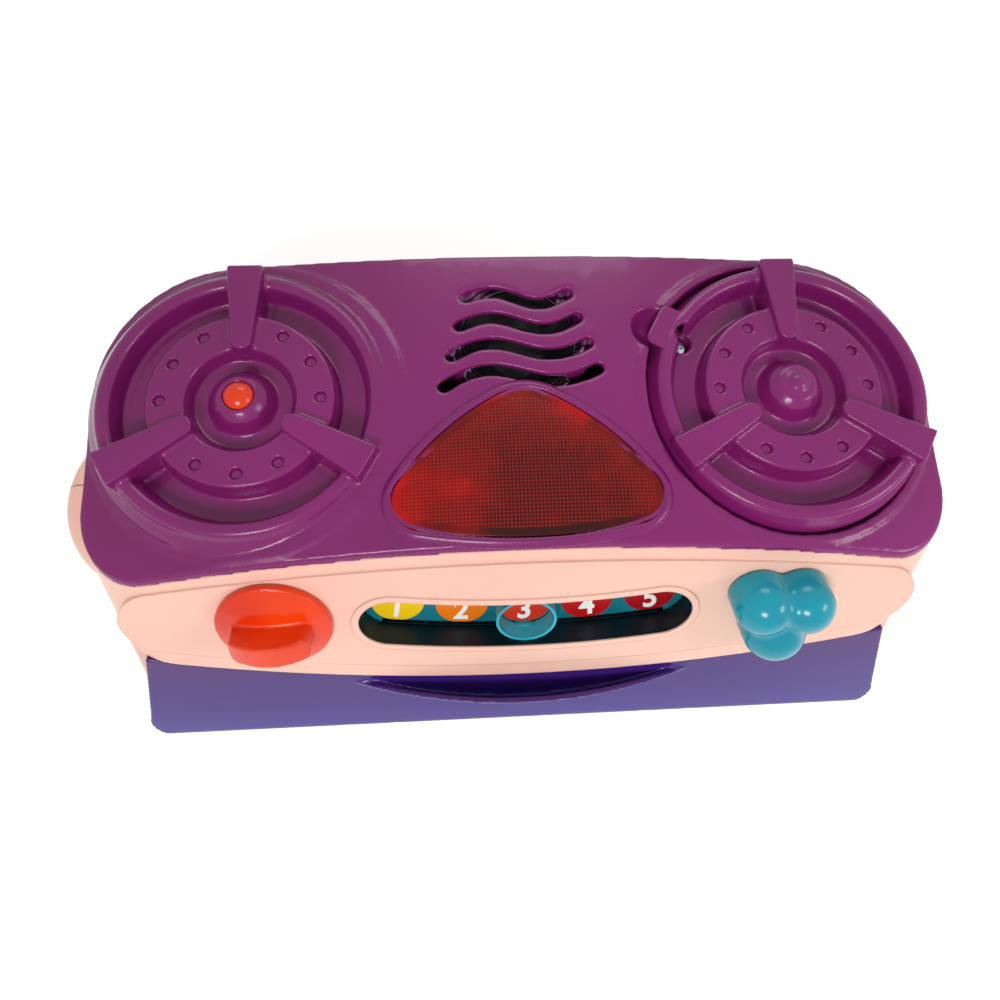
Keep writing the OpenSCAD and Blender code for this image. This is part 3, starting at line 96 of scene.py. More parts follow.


# Moulded plastic: a broad drift of tone, a fine grain in the gloss and soft edges in the light
def mouldedPlastic(name, look):
    material = bpy.data.materials.new(name)
    material.use_nodes = True
    tree = material.node_tree
    shader = tree.nodes["Principled BSDF"]
    place = addNode(tree, "TexCoord").outputs["Object"]
    drift = addNode(tree, "TexNoise", [(place, "Vector")], Scale=1000 / look["driftMm"], Detail=2.0)
    speck = addNode(tree, "TexNoise", [(place, "Vector")], Scale=1000 / look["speckMm"], Detail=3.0)
    tone = rampOf(tree, drift.outputs["Fac"], [(noiseRange["toneLow"], look["deep"]),
        (noiseRange["toneHigh"], look["colour"])])
    # Painted light and shade along the height: a painted highlight low down, painted shade high up
    if "paintedShading" in look:
        height = addNode(tree, "SeparateXYZ", [(place, "Vector")])
        share = addNode(tree, "MapRange", [(height.outputs["Z"], "Value")])
        share.inputs["From Min"].default_value = look["paintedShading"]["low"] * mm
        share.inputs["From Max"].default_value = look["paintedShading"]["high"] * mm
        paintedShadingTone = rampOf(tree, share.outputs["Result"], look["paintedShading"]["stops"])
        blend = addNode(tree, "Mix", data_type="RGBA")
        blend.inputs["Factor"].default_value = paintedShadingShare
        tree.links.new(tone, blend.inputs["A"])
        tree.links.new(paintedShadingTone, blend.inputs["B"])
        tone = blend.outputs["Result"]
    tree.links.new(tone, shader.inputs["Base Color"])
    gloss = addNode(tree, "MapRange", [(speck.outputs["Fac"], "Value")])
    gloss.inputs["From Min"].default_value = noiseRange["glossLow"]
    gloss.inputs["From Max"].default_value = noiseRange["glossHigh"]
    gloss.inputs["To Min"].default_value = look["roughness"] * glossSpread["least"]
    gloss.inputs["To Max"].default_value = look["roughness"] * glossSpread["most"]
    tree.links.new(gloss.outputs["Result"], shader.inputs["Roughness"])
    grain = addNode(tree, "Bump", [(speck.outputs["Fac"], "Height")])
    grain.inputs["Strength"].default_value = look["grain"]
    grain.inputs["Distance"].default_value = grainDepthMm * mm
    if look["edgeMm"] > 0:
        edge = addNode(tree, "Bevel", samples=4)
        edge.inputs["Radius"].default_value = look["edgeMm"] * mm
        tree.links.new(edge.outputs["Normal"], grain.inputs["Normal"])
        tree.links.new(edge.outputs["Normal"], shader.inputs["Coat Normal"])
    tree.links.new(grain.outputs["Normal"], shader.inputs["Normal"])
    shader.inputs["Coat Weight"].default_value = look["coat"]
    shader.inputs["Coat Roughness"].default_value = 0.06
    shader.inputs["Specular IOR Level"].default_value = look.get("specular", 0.25)
    shader.inputs["Transmission Weight"].default_value = look.get("through", 0.0)
    shader.inputs["IOR"].default_value = 1.5
    shader.inputs["Metallic"].default_value = look.get("metal", 0.0)
    return material


# Plums, pinks and teals are satin to glossy ABS; the door is tinted and partly clear, with a
# painted highlight that makes it lighter and bluer at its foot and painted shade near its top,
# where the pink inside shows through; metals are polished; boards, wires and cells are plain and
# glossy
looks = {
    "mouldedPlumAbs": {"colour": "#8c1f70", "deep": "#761a5e", "roughness": 0.26, "coat": 0.16,
        "driftMm": 160, "speckMm": 0.9, "grain": 0.05, "edgeMm": 0},
    "mouldedPinkAbs": {"colour": "#f8cbb8", "deep": "#f3bfad", "roughness": 0.38, "coat": 0.1,
        "driftMm": 120, "speckMm": 0.9, "grain": 0.06, "edgeMm": 0.9},
    "mouldedOrangeAbs": {"colour": "#f04000", "deep": "#d82c00", "roughness": 0.22, "coat": 0.25,
        "driftMm": 40, "speckMm": 0.8, "grain": 0.04, "edgeMm": 0},
    "mouldedTealAbs": {"colour": "#04a0b4", "deep": "#028aa0", "roughness": 0.22, "coat": 0.25,
        "driftMm": 40, "speckMm": 0.8, "grain": 0.04, "edgeMm": 0},
    "mouldedRingAbs": {"colour": "#18b4c6", "deep": "#0f9db0", "roughness": 0.22, "coat": 0.35,
        "driftMm": 30, "speckMm": 0.8, "grain": 0.04, "edgeMm": 0},
    "darkTealTray": {"colour": "#062a33", "deep": "#031318", "roughness": 0.4, "coat": 0.1,
        "driftMm": 30, "speckMm": 0.6, "grain": 0.08, "edgeMm": 0.3},
    "tintedVioletDoor": {"colour": "#4c3096", "deep": "#3c247e", "roughness": 0.15, "coat": 0.2,
        "driftMm": 90, "speckMm": 0.9, "grain": 0.04, "edgeMm": 0, "through": 0.3,
        # painted highlight at the foot, painted shade under the fascia near the top
        "paintedShading": {"low": 2, "high": 44, "stops": [(0.0, "#5c46ae"), (0.35, "#472c92"),
            (0.7, "#4c2086"), (1.0, "#5c1474")]}},
    "printedTealFilm": {"colour": "#16808f", "deep": "#0f6876", "roughness": 0.35, "coat": 0.4,
        "driftMm": 20, "speckMm": 0.4, "grain": 0.05, "edgeMm": 0.05},
    "chromedSteel": {"colour": "#d8d8dc", "deep": "#b9bac2", "roughness": 0.14, "coat": 0.0,
        "driftMm": 6, "speckMm": 0.3, "grain": 0.15, "edgeMm": 0.15, "metal": 1.0},
    "blackNylon": {"colour": "#16161a", "deep": "#0c0c0f", "roughness": 0.45, "coat": 0.1,
        "driftMm": 20, "speckMm": 0.5, "grain": 0.2, "edgeMm": 0.3},
    "whiteStyrene": {"colour": "#e9e7e2", "deep": "#dcd9d2", "roughness": 0.4, "coat": 0.2,
        "driftMm": 40, "speckMm": 0.6, "grain": 0.15, "edgeMm": 0.4},
    "boardGreen": {"colour": "#1f7a3e", "deep": "#155c2d", "roughness": 0.35, "coat": 0.4,
        "driftMm": 12, "speckMm": 0.5, "grain": 0.25, "edgeMm": 0.1},
    "wireRed": {"colour": "#c8201c", "deep": "#a01612", "roughness": 0.35, "coat": 0.2,
        "driftMm": 10, "speckMm": 0.4, "grain": 0.1, "edgeMm": 0.1},
    "cellJacket": {"colour": "#2c3a44", "deep": "#1d262e", "roughness": 0.25, "coat": 0.5,
        "driftMm": 12, "speckMm": 0.4, "grain": 0.08, "edgeMm": 0.3},
    "contactBrass": {"colour": "#c9a24a", "deep": "#a98334", "roughness": 0.22, "coat": 0.0,
        "driftMm": 5, "speckMm": 0.3, "grain": 0.15, "edgeMm": 0.1, "metal": 1.0},
}
finishes = {name: mouldedPlastic(name, look) for name, look in looks.items()}
print("materials made:", len(finishes))


mergeMm = 0.002  # points closer than this are one
creaseDegrees = 34  # faces that meet at less are shaded smooth


# Merged copy of a CAD node's mesh
def mergedCopy(node):
    mesh = nodes[node].data.copy()
    work = bmesh.new()
    work.from_mesh(mesh)
    bmesh.ops.remove_doubles(work, verts=work.verts, dist=mergeMm * mm)
    work.to_mesh(mesh)
    work.free()
    return mesh


# Mesh of an object as its modifiers leave it
def finished(shape):
    bpy.context.view_layer.update()
    graph = bpy.context.evaluated_depsgraph_get()
    return bpy.data.meshes.new_from_object(shape.evaluated_get(graph))


# Rounded edges: small voxels of the solid, relaxed, then thinned; every kept point takes the
# normal of the nearest point of the full mesh
def roundedCopy(node, look):
    shape = bpy.data.objects.new("shape", mergedCopy(node))
    bpy.context.scene.collection.objects.link(shape)
    voxels = shape.modifiers.new("voxels", "REMESH")
    voxels.mode = "VOXEL"
    voxels.voxel_size = look["voxelMm"] * mm
    if "fillMm" in look:  # creases are filled by growing the skin and shrinking it again
        for push in (look["fillMm"], -look["fillMm"]):
            swell = shape.modifiers.new("swell", "DISPLACE")
            swell.mid_level = 0
            swell.strength = push * mm
            again = shape.modifiers.new("again", "REMESH")
            again.mode = "VOXEL"
            again.voxel_size = look["voxelMm"] * mm
    relax = shape.modifiers.new("relax", "SMOOTH")
    relax.factor = 0.5
    relax.iterations = look["passes"]
    full = finished(shape)
    thin = shape.modifiers.new("thin", "DECIMATE")
    thin.ratio = look["keep"]
    kept = finished(shape)
    bpy.data.objects.remove(shape)
    fullPoints = np.empty(len(full.vertices) * 3)
    facing = np.empty(len(full.vertices) * 3)
    keptPoints = np.empty(len(kept.vertices) * 3)
    full.vertices.foreach_get("co", fullPoints)
    full.vertices.foreach_get("normal", facing)
    kept.vertices.foreach_get("co", keptPoints)
    tree = KDTree(len(full.vertices))
    for index, point in enumerate(fullPoints.reshape(-1, 3)):
        tree.insert(point, index)
    tree.balance()
    nearest = [tree.find(point)[1] for point in keptPoints.reshape(-1, 3)]
    kept.polygons.foreach_set("use_smooth", np.ones(len(kept.polygons), bool))
    kept.normals_split_custom_set_from_vertices(facing.reshape(-1, 3)[nearest].tolist())
    return kept


# Crisp copy: smooth apart from its creases
def crispCopy(node):
    mesh = mergedCopy(node)
    work = bmesh.new()
    work.from_mesh(mesh)
    limit = math.radians(creaseDegrees)
    for face in work.faces:
        face.smooth = True
    for edge in work.edges:
        edge.smooth = len(edge.link_faces) == 2 and edge.calc_face_angle(0) < limit
    work.to_mesh(mesh)
    work.free()
    return mesh


mouldings = {
    "hobMoulding": {"node": "hob_top", "body": "housing", "finish": "mouldedPlumAbs",
        "slot": "hob_plum", "voxelMm": 0.6, "passes": 16, "keep": 0.3},
    "coverMoulding": {"node": "battery_cover", "body": "battery_cover",
        "finish": "mouldedPlumAbs", "slot": "hob_plum", "voxelMm": 0.6, "passes": 16, "keep": 0.6},
    "frontShell": {"node": "front_housing", "body": "housing", "finish": "mouldedPinkAbs",
        "slot": "body_pink"},
    "rearShell": {"node": "rear_housing", "body": "housing", "finish": "mouldedPinkAbs",
        "slot": "body_pink"},
    "baseMoulding": {"node": "base_plate", "body": "housing", "finish": "mouldedPinkAbs",
        "slot": "body_pink"},
    "ovenDoor": {"node": "oven_door", "body": "oven_door", "finish": "tintedVioletDoor",
        "slot": "door_violet", "voxelMm": 0.6, "passes": 5, "keep": 0.8},
    "ovenKnob": {"node": "oven_knob", "body": "oven_knob", "finish": "mouldedOrangeAbs",
        "slot": "knob_orange", "voxelMm": 0.42, "passes": 12, "keep": 0.8},
    "cloverKnob": {"node": "clover_knob", "body": "clover_knob", "finish": "mouldedTealAbs",
        "slot": "knob_teal", "voxelMm": 0.42, "passes": 10, "keep": 0.8, "fillMm": 2.6},
    "numberRing": {"node": "slider_ring", "body": "number_slider", "finish": "mouldedRingAbs",
        "slot": "knob_teal", "voxelMm": 0.25, "passes": 4, "keep": 0.9},
    "sliderTray": {"node": "slider_tray", "body": "housing", "finish": "darkTealTray",
        "slot": "tray_teal"},
    "numberFilm": {"node": "number_label", "body": "housing", "finish": "printedTealFilm",
        "slot": "label_print"},
    "panButton": {"node": "pan_button", "body": "pan_button", "finish": "mouldedOrangeAbs",
        "slot": "knob_orange", "voxelMm": 0.22, "passes": 4, "keep": 0.9},
    "coverScrew": {"node": "battery_cover_screw", "body": "battery_cover_screw",
        "finish": "chromedSteel", "slot": "chromed_steel"},
    "ovenLiner": {"node": "oven_liner", "body": "housing", "finish": "whiteStyrene",
        "slot": "inner_white"},
}
for name, look in mouldings.items():
    mesh = roundedCopy(look["node"], look) if "voxelMm" in look else crispCopy(look["node"])
    mesh.name = name
    mesh.materials.clear()
    mesh.materials.append(finishes[look["finish"]])
    mesh.polygons.foreach_set("material_index", np.zeros(len(mesh.polygons), dtype=np.int32))
    piece = bpy.data.objects.new(name, mesh)
    bpy.context.scene.collection.objects.link(piece)
    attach(piece, look["body"])
    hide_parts(look["node"])
    print("moulding", name, len(mesh.polygons))

innerFinishes = {
    "chromedSteel": ["hob_screws", "base_screws", "retainer_screws", "board_screws",
        "door_hinge_pins", "pan_button_spring", "cam_leaf_springs", "oven_knob_screw",
        "clover_knob_screw", "battery_contacts", "speaker"],
    "blackNylon": ["battery_box", "speaker_cone", "speaker_clamp", "button_retainer",
        "pan_switch", "lamp_holder", "board_components", "oven_knob_cam", "clover_knob_cam"],
    "whiteStyrene": ["lamp_reflector", "lamp_bulb"],
    "boardGreen": ["front_board", "main_board"],
    "contactBrass": ["slider_wiper"],
    "cellJacket": ["battery_cells"],
    "wireRed": ["battery_leads", "speaker_leads", "lamp_leads", "board_leads", "switch_leads"],
}
for finish, names in innerFinishes.items():
    for name in names:
        target = nodes[name]
        if not target.material_slots:
            target.data.materials.append(finishes[finish])
        for entry in target.material_slots:
            entry.link = "OBJECT"
            entry.material = finishes[finish]
print("inner parts finished")

# Signal lens: rings from the middle out to the outline, lifted over the crown of the hob
lensShape = {"apexR": 20, "apexBack": 1.6, "cornerR": 10.5, "half": 35.2, "front": 37.1,
    "bowR": 200, "sideR": 100, "border": 3.0, "rim": 0.9, "bulge": 1.9, "pitchMm": 1.25,
    "middle": (0.0, -27.5), "rings": 30, "borderRings": (0.33, 0.66, 0.9),
    "dotted": 0.93, "borderReach": (0.953, 0.976, 0.993), "underside": 0.7,
    "edge": [(0.0025, 0.12), (0.0, 0.5), (0.0, 1.6)], "cloudMm": 22, "prismMm": 0.25}
crown = {"top": 94.5, "radius": 950}


# Points of an arc, from one angle to another
def arcPoints(centre, radius, start, end, steps):
    angles = np.radians(np.linspace(start, end, steps + 1))
    return np.array(centre) + radius * np.stack([np.cos(angles), np.sin(angles)], axis=1)


# Height of the hob's crown: a sphere whose top is at the middle of the hob
def crownHeight(points):
    flat = (np.asarray(points) ** 2).sum(axis=-1)
    return crown["top"] - crown["radius"] + np.sqrt(crown["radius"] ** 2 - flat)


# Centre of the arc that holds and touches two round corners a and b
def bowCentre(a, b, radiusA, radiusB, radius):
    gap = np.linalg.norm(b - a)
    along = ((radius - radiusA) ** 2 - (radius - radiusB) ** 2 + gap ** 2) / (2 * gap)
    off = math.sqrt((radius - radiusA) ** 2 - along ** 2)
    unit = (b - a) / gap
    return a + along * unit + off * np.array([-unit[1], unit[0]])


# Outline of the lens, grown by some mm: three round corners joined by bowed sides
def lensOutline(grow):
    s = lensShape
    apex = np.array([0, s["apexBack"] - s["apexR"]])
    left, right = np.array([-s["half"], -s["front"]]), np.array([s["half"], -s["front"]])
    side = bowCentre(apex, left, s["apexR"], s["cornerR"], s["sideR"])
    bow = bowCentre(left, right, s["cornerR"], s["cornerR"], s["bowR"])
    apexA, sideA, footA = [math.degrees(math.atan2(v[1], v[0])) % 360
        for v in (apex - side, left - side, left - bow)]
    return np.concatenate([
        arcPoints(apex, s["apexR"] + grow, 180 - apexA, apexA, 30)[:-1],
        arcPoints(side, s["sideR"] + grow, apexA, sideA, 40)[:-1],
        arcPoints(left, s["cornerR"] + grow, sideA, footA, 28)[:-1],
        arcPoints(bow, s["bowR"] + grow, footA, 540 - footA, 70)[:-1],
        arcPoints(right, s["cornerR"] + grow, 540 - footA, 540 - sideA, 28)[:-1],
        arcPoints((-side[0], side[1]), s["sideR"] + grow, 540 - sideA, 540 - apexA, 40)[:-1],
    ])


# Piece of the scene from points in mm and faces, with its body
def meshPiece(name, points, faces, finishNames, body, smooth=True, faceFinish=None):
    mesh = bpy.data.meshes.new(name)
    mesh.from_pydata((np.asarray(points) * mm).tolist(), [], [list(f) for f in faces])
    for finish in finishNames:
        mesh.materials.append(finish)
    if faceFinish is not None:
        mesh.polygons.foreach_set("material_index", np.asarray(faceFinish, dtype=np.int32))
    mesh.polygons.foreach_set("use_smooth", np.full(len(mesh.polygons), smooth))
    mesh.update()
    piece = bpy.data.objects.new(name, mesh)
    bpy.context.scene.collection.objects.link(piece)
    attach(piece, body)
    return piece


# Rows of a grid joined to quads; each row closes on itself when wrap is set
def gridFaces(rows, columns, wrap=False):
    reach = columns if wrap else columns - 1
    row, column = np.meshgrid(np.arange(rows - 1), np.arange(reach), indexing="ij")
    after = (column + 1) % columns
    return np.stack([row * columns + column, row * columns + after,
        (row + 1) * columns + after, (row + 1) * columns + column], axis=-1).reshape(-1, 4)


# A closed band along an outline: its profile rows close on themselves as the outline does
def bandFaces(rows, columns):
    faces = gridFaces(rows + 1, columns, wrap=True)
    return faces % (rows * columns)


# Tinted acrylic lens: fine prisms show as dots under a clear top; painted shade makes it dark in
# the lower middle
def lensFinish(name, dotted):
    material = bpy.data.materials.new(name)
    material.use_nodes = True
    tree = material.node_tree
    shader = tree.nodes["Principled BSDF"]
    place = addNode(tree, "TexCoord").outputs["Object"]
    flat = addNode(tree, "Mapping", [(place, "Vector")])
    flat.inputs["Scale"].default_value = (1, 1, 0)
    dots = addNode(tree, "TexVoronoi", [(flat.outputs["Vector"], "Vector")],
        voronoi_dimensions="2D", Scale=1000 / lensShape["pitchMm"], Randomness=0.0)
    cloud = addNode(tree, "TexNoise", [(place, "Vector")], Scale=1000 / lensShape["cloudMm"],
        Detail=3.0)
    spread = addNode(tree, "Mapping", [(place, "Vector")])
    spread.inputs["Location"].default_value = (-0.12, 0.95, 0)
    spread.inputs["Scale"].default_value = (20, 29, 0)
    # Painted shade: a round gradient darkens the lens towards its lower middle, over a cloud of
    # tone
    shade = addNode(tree, "TexGradient", [(spread.outputs["Vector"], "Vector")],
        gradient_type="SPHERICAL")
    depth = addNode(tree, "Math", [(shade.outputs["Fac"], 0), (cloud.outputs["Fac"], 1)],
        operation="MULTIPLY_ADD")
    tree.links.new(cloud.outputs["Fac"], depth.inputs[2])
    body = rampOf(tree, depth.outputs["Value"], [(0.36, "#b80402"), (0.55, "#7c0201"),
        (0.85, "#340000")])
    tone = body
    if dotted:
        spot = rampOf(tree, dots.outputs["Distance"], [(0.1, "#f03818"), (0.26, "#a80602"),
            (0.5, "#480000")])
        blend = addNode(tree, "Mix", data_type="RGBA")
        blend.inputs["Factor"].default_value = 0.4
        tree.links.new(body, blend.inputs["A"])
        tree.links.new(spot, blend.inputs["B"])
        tone = blend.outputs["Result"]
    tree.links.new(tone, shader.inputs["Base Color"])
    bump = addNode(tree, "Bump", [(dots.outputs["Distance"], "Height")])
    bump.inputs["Strength"].default_value = 0.5 if dotted else 0.02
    bump.inputs["Distance"].default_value = lensShape["prismMm"] * mm
    bump.invert = True
    tree.links.new(bump.outputs["Normal"], shader.inputs["Normal"])
    shader.inputs["Roughness"].default_value = 0.28
    shader.inputs["Specular IOR Level"].default_value = 0.12
    shader.inputs["Coat Weight"].default_value = 0.2
    shader.inputs["Coat Roughness"].default_value = 0.03
    return material


dottedRed = lensFinish("tintedRedPrisms", True)
smoothRed = lensFinish("tintedRedBorder", False)
steps = lensShape["rings"]
outline = lensOutline(0)
count = len(outline)
middle = np.array(lensShape["middle"])
inside = lensOutline(-lensShape["border"])
shares = np.linspace(0, 1, steps + 1)[1:]
rings = [middle + share * (inside - middle) for share in shares]
rings += [inside + share * (outline - inside) for share in lensShape["borderRings"]]
# Share of the way to the outline at each ring; the height falls with its square
reach = np.concatenate([shares * lensShape["dotted"], lensShape["borderReach"]])
plan = np.concatenate(rings)
rise = lensShape["rim"] + lensShape["bulge"] * (1 - np.repeat(reach, count) ** 2)
top = np.column_stack([plan, crownHeight(plan) + rise])
edgeRows = []
for inset, drop in lensShape["edge"]:  # share inwards and depth of the rounded edge
    row = outline + (middle - outline) * inset
    edgeRows.append(np.column_stack([row, crownHeight(outline) + lensShape["rim"] - drop]))
peak = float(crownHeight(middle)) + lensShape["rim"] + lensShape["bulge"]
under = [*middle, float(crownHeight(middle)) - lensShape["underside"]]
points = np.concatenate([[[*middle, peak]], top, *edgeRows, [under]])
rows = len(rings) + len(edgeRows)
quads = gridFaces(rows, count, wrap=True) + 1
around = np.arange(count)
fan = np.column_stack([np.zeros(count, int), 1 + around, 1 + (around + 1) % count])
lastRow = 1 + (rows - 1) * count
closing = np.column_stack([np.full(count, len(points) - 1), lastRow + (around + 1) % count,
    lastRow + around])
kinds = [0] * count + [0 if i // count < steps - 1 else 1 for i in range(len(quads))]
kinds += [1] * count
lensFaces = [*fan.tolist(), *quads[:, ::-1].tolist(), *closing.tolist()]
lens = meshPiece("signalLens", points, lensFaces, [dottedRed, smoothRed], "housing",
    faceFinish=kinds)
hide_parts("signal_lens")

# Bezel round the lens: a closed band with a rounded top, standing on the crown
bezelProfile = [(0.25, -0.6), (0.25, 0.8), (0.5, 1.2), (1.0, 1.42), (1.6, 1.4), (2.2, 1.15),
    (2.8, 0.7), (3.4, 0.2), (3.8, -0.2), (3.8, -0.6)]  # distance outwards, height over the crown
bezelRows = []
for grow, lift in bezelProfile:
    row = lensOutline(grow)
    bezelRows.append(np.column_stack([row, crownHeight(row) + lift]))
meshPiece("lensBezel", np.concatenate(bezelRows), bandFaces(len(bezelProfile), count).tolist(),
    [finishes["mouldedPlumAbs"]], "housing")
print("lens made:", len(points))

# Tab of the cover: a plate with two round corners, thin where it lies over the hob
tabShape = {"centre": 96, "turn": 150.4, "inner": 46.4, "outer": 54.4, "half": 8.2, "cornerR": 3,
    "profile": [(-0.5, 94.0), (0.0, 94.2), (0.0, 94.9), (-0.25, 95.25), (-0.8, 95.4)]}
tabAngle = math.radians(tabShape["turn"])
tabTurn = np.array([[math.cos(tabAngle), math.sin(tabAngle)],
    [-math.sin(tabAngle), math.cos(tabAngle)]])
tabRows = []
for grow, height in tabShape["profile"]:
    cornerX = tabShape["outer"] - tabShape["cornerR"]
    cornerY = tabShape["half"] - tabShape["cornerR"]
    cornerR = tabShape["cornerR"] + grow
    plate = np.concatenate([[[tabShape["inner"], -tabShape["half"] - grow]],
        arcPoints((cornerX, -cornerY), cornerR, -90, 0, 10),
        arcPoints((cornerX, cornerY), cornerR, 0, 90, 10),
        [[tabShape["inner"], tabShape["half"] + grow]]])
    turned = plate @ tabTurn + (tabShape["centre"], 0)
    tabRows.append(np.column_stack([turned, np.full(len(plate), height)]))
tabCount = len(tabRows[0])
tabFaces = gridFaces(len(tabRows), tabCount, wrap=True).tolist()
tabFaces += [list(range((len(tabRows) - 1) * tabCount, len(tabRows) * tabCount)),
    list(range(tabCount - 1, -1, -1))]
meshPiece("coverTab", np.concatenate(tabRows), tabFaces, [finishes["mouldedPlumAbs"]],
    "battery_cover", smooth=False)

# Number discs: coloured rounds with a white numeral on each
discStyle = {"pathR": 298, "pathDrop": 7.5, "pitch": 23.4, "count": 5, "depth": 9, "thick": 0.12,
    "discR": 9.6, "footLine": 9.2, "tall": 14.4, "narrow": 0.8, "bold": 0.4, "lift": -3.0,
    "inkHalf": 0.03, "inkUp": 0.04, "sides": 96,
    "fills": ["#f6cc12", "#ef7d10", "#d8300e", "#b80c14", "#a80a18"]}
fascia = {"slope": 58, "at": (0, -70.4, 64.3)}  # leans back by this angle about X
fasciaTurn = Matrix.Rotation(math.radians(fascia["slope"]), 4, "X")
fasciaPlace = Matrix.Translation(Vector(fascia["at"]) * mm) @ fasciaTurn


# Ink of one colour with a faint grain, a little glossy
def printedInk(name, colour):
    look = {"colour": colour, "deep": colour, "roughness": 0.35, "coat": 0.3, "driftMm": 9,
        "speckMm": 0.3, "grain": 0.05, "edgeMm": 0.05}
    return mouldedPlastic(name, look)


whiteInk = printedInk("whiteInk", "#fbfaf4")


# Placement of disc i: a turn about the middle of the slider's path, then out along it
def discPlace(index):
    s = discStyle
    angle = math.asin((index - (s["count"] - 1) / 2) * s["pitch"] / s["pathR"])
    turn = Matrix.Translation(Vector((0, s["pathR"] - s["pathDrop"], 0)) * mm)
    turn = turn @ Matrix.Rotation(angle, 4, "Z")
    return fasciaPlace @ turn @ Matrix.Translation(Vector((0, -s["pathR"], 0)) * mm)


# Round printed disc, cut off below where the slot for the ring's foot runs
def discPoints(index, level):
    s = discStyle
    angles = np.radians(np.arange(0, 360, 360 / s["sides"]))
    ring = np.stack([s["discR"] * np.cos(angles), s["discR"] * np.sin(angles)], axis=1)
    rise = s["pathR"] - np.sqrt(s["pathR"] ** 2 - ring[:, 0] ** 2)
    ring[:, 1] = np.maximum(ring[:, 1], rise - s["footLine"])
    place = discPlace(index)
    flat = np.column_stack([ring, np.full(len(ring), level)])
    return [tuple((place @ Vector(p * mm)) / mm) for p in flat]


for index in range(discStyle["count"]):
    fill = printedInk("discInk%d" % (index + 1), discStyle["fills"][index])
    low = discPoints(index, -discStyle["depth"])
    top = discPoints(index, -discStyle["depth"] + discStyle["thick"])
    rim = gridFaces(2, len(low), wrap=True)
    cap = [len(low) + i for i in range(len(low))]
    disc = meshPiece("numberDisc%d" % (index + 1), [*low, *top], [*rim.tolist(), cap], [fill],
        "housing", smooth=False)
    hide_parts("number_discs")
    curve = bpy.data.curves.new("numeral%d" % (index + 1), "FONT")
    curve.body = str(index + 1)
    curve.size = discStyle["tall"] * mm
    curve.extrude = discStyle["inkHalf"] * mm
    curve.offset = discStyle["bold"] * mm
    curve.align_x = "CENTER"
    curve.align_y = "CENTER"
    curve.materials.append(whiteInk)
    numeral = bpy.data.objects.new("numeral%d" % (index + 1), curve)
    bpy.context.scene.collection.objects.link(numeral)
    flat = finished(numeral)
    high = -discStyle["depth"] + discStyle["thick"] + discStyle["inkUp"]
    middleUp = Matrix.Translation(Vector((0, discStyle["lift"], high)) * mm)
    flat.transform(discPlace(index) @ middleUp @ Matrix.Diagonal((discStyle["narrow"], 1, 1, 1)))
    bpy.data.objects.remove(numeral)
    solid = bpy.data.objects.new("numeral%d" % (index + 1), flat)
    bpy.context.scene.collection.objects.link(solid)
    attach(solid, "housing")
print("discs made:", discStyle["count"])

# Rounds in the vent holes of both burners, so that the holes read as dimples
dimple = {"turns": [0, 30, 60, 120, 150, 180, 240, 270, 300], "circle": 26.8, "apart": 96,
    "rings": [(1.0, 94.6), (1.92, 95.0), (1.92, 93.9)], "middle": 94.55, "sides": 24}
sides = dimple["sides"]
spots = np.radians(np.arange(sides) * 360 / sides)
circle = np.stack([np.cos(spots), np.sin(spots)], axis=1)
for name, side, body in [("leftDimples", -1, "housing"), ("rightDimples", 1, "battery_cover")]:
    points, faces = [], []
    for turnDegrees in dimple["turns"]:
        angle, start = math.radians(turnDegrees), len(points)
        at = np.array([side * dimple["apart"] + dimple["circle"] * math.cos(angle),
            dimple["circle"] * math.sin(angle)])
        points.append([*at, dimple["middle"]])
        for radius, height in dimple["rings"]:
            points += [[*(at + radius * spot), height] for spot in circle]
        points.append([*at, dimple["rings"][-1][1]])
        foot, last = start + 1 + (len(dimple["rings"]) - 1) * sides, len(points) - 1
        faces += [[start, start + 1 + i, start + 1 + (i + 1) % sides] for i in range(sides)]
        walls = gridFaces(len(dimple["rings"]), sides, wrap=True)
        faces += (walls[:, ::-1] + start + 1).tolist()
        faces += [[last, foot + (i + 1) % sides, foot + i] for i in range(sides)]
    meshPiece(name, points, faces, [finishes["mouldedPlumAbs"]], body)
print("dimples made")

# Dark closed band just inside the slot's wall, up to a little over the panel: the tray's dark wall
# that comes up to the rim, and painted shadow in the slot
trayWallAndShadowShape = {"half": 11.7, "reach": 48.5, "gap": 0.12, "thick": 0.08, "low": -8.6, "high": 0.9}


# Outline of the slot: two long arcs about the slider's middle and a half round at each end
def slotOutline(inset):
    s, half = discStyle, trayWallAndShadowShape["half"] - inset
    angle = math.degrees(math.asin(trayWallAndShadowShape["reach"] / s["pathR"]))
    middleY = s["pathR"] - s["pathDrop"]
    ends = [(side * trayWallAndShadowShape["reach"], middleY - s["pathR"] * math.cos(math.radians(angle)))
        for side in (-1, 1)]
    return np.concatenate([
        arcPoints((0, middleY), s["pathR"] + half, 270 - angle, 270 + angle, 90),
        arcPoints(ends[1], half, 270 + angle, 450 + angle, 40)[1:-1],
        arcPoints((0, middleY), s["pathR"] - half, 270 + angle, 270 - angle, 90),
        arcPoints(ends[0], half, 90 - angle, 270 - angle, 40)[1:-1]])


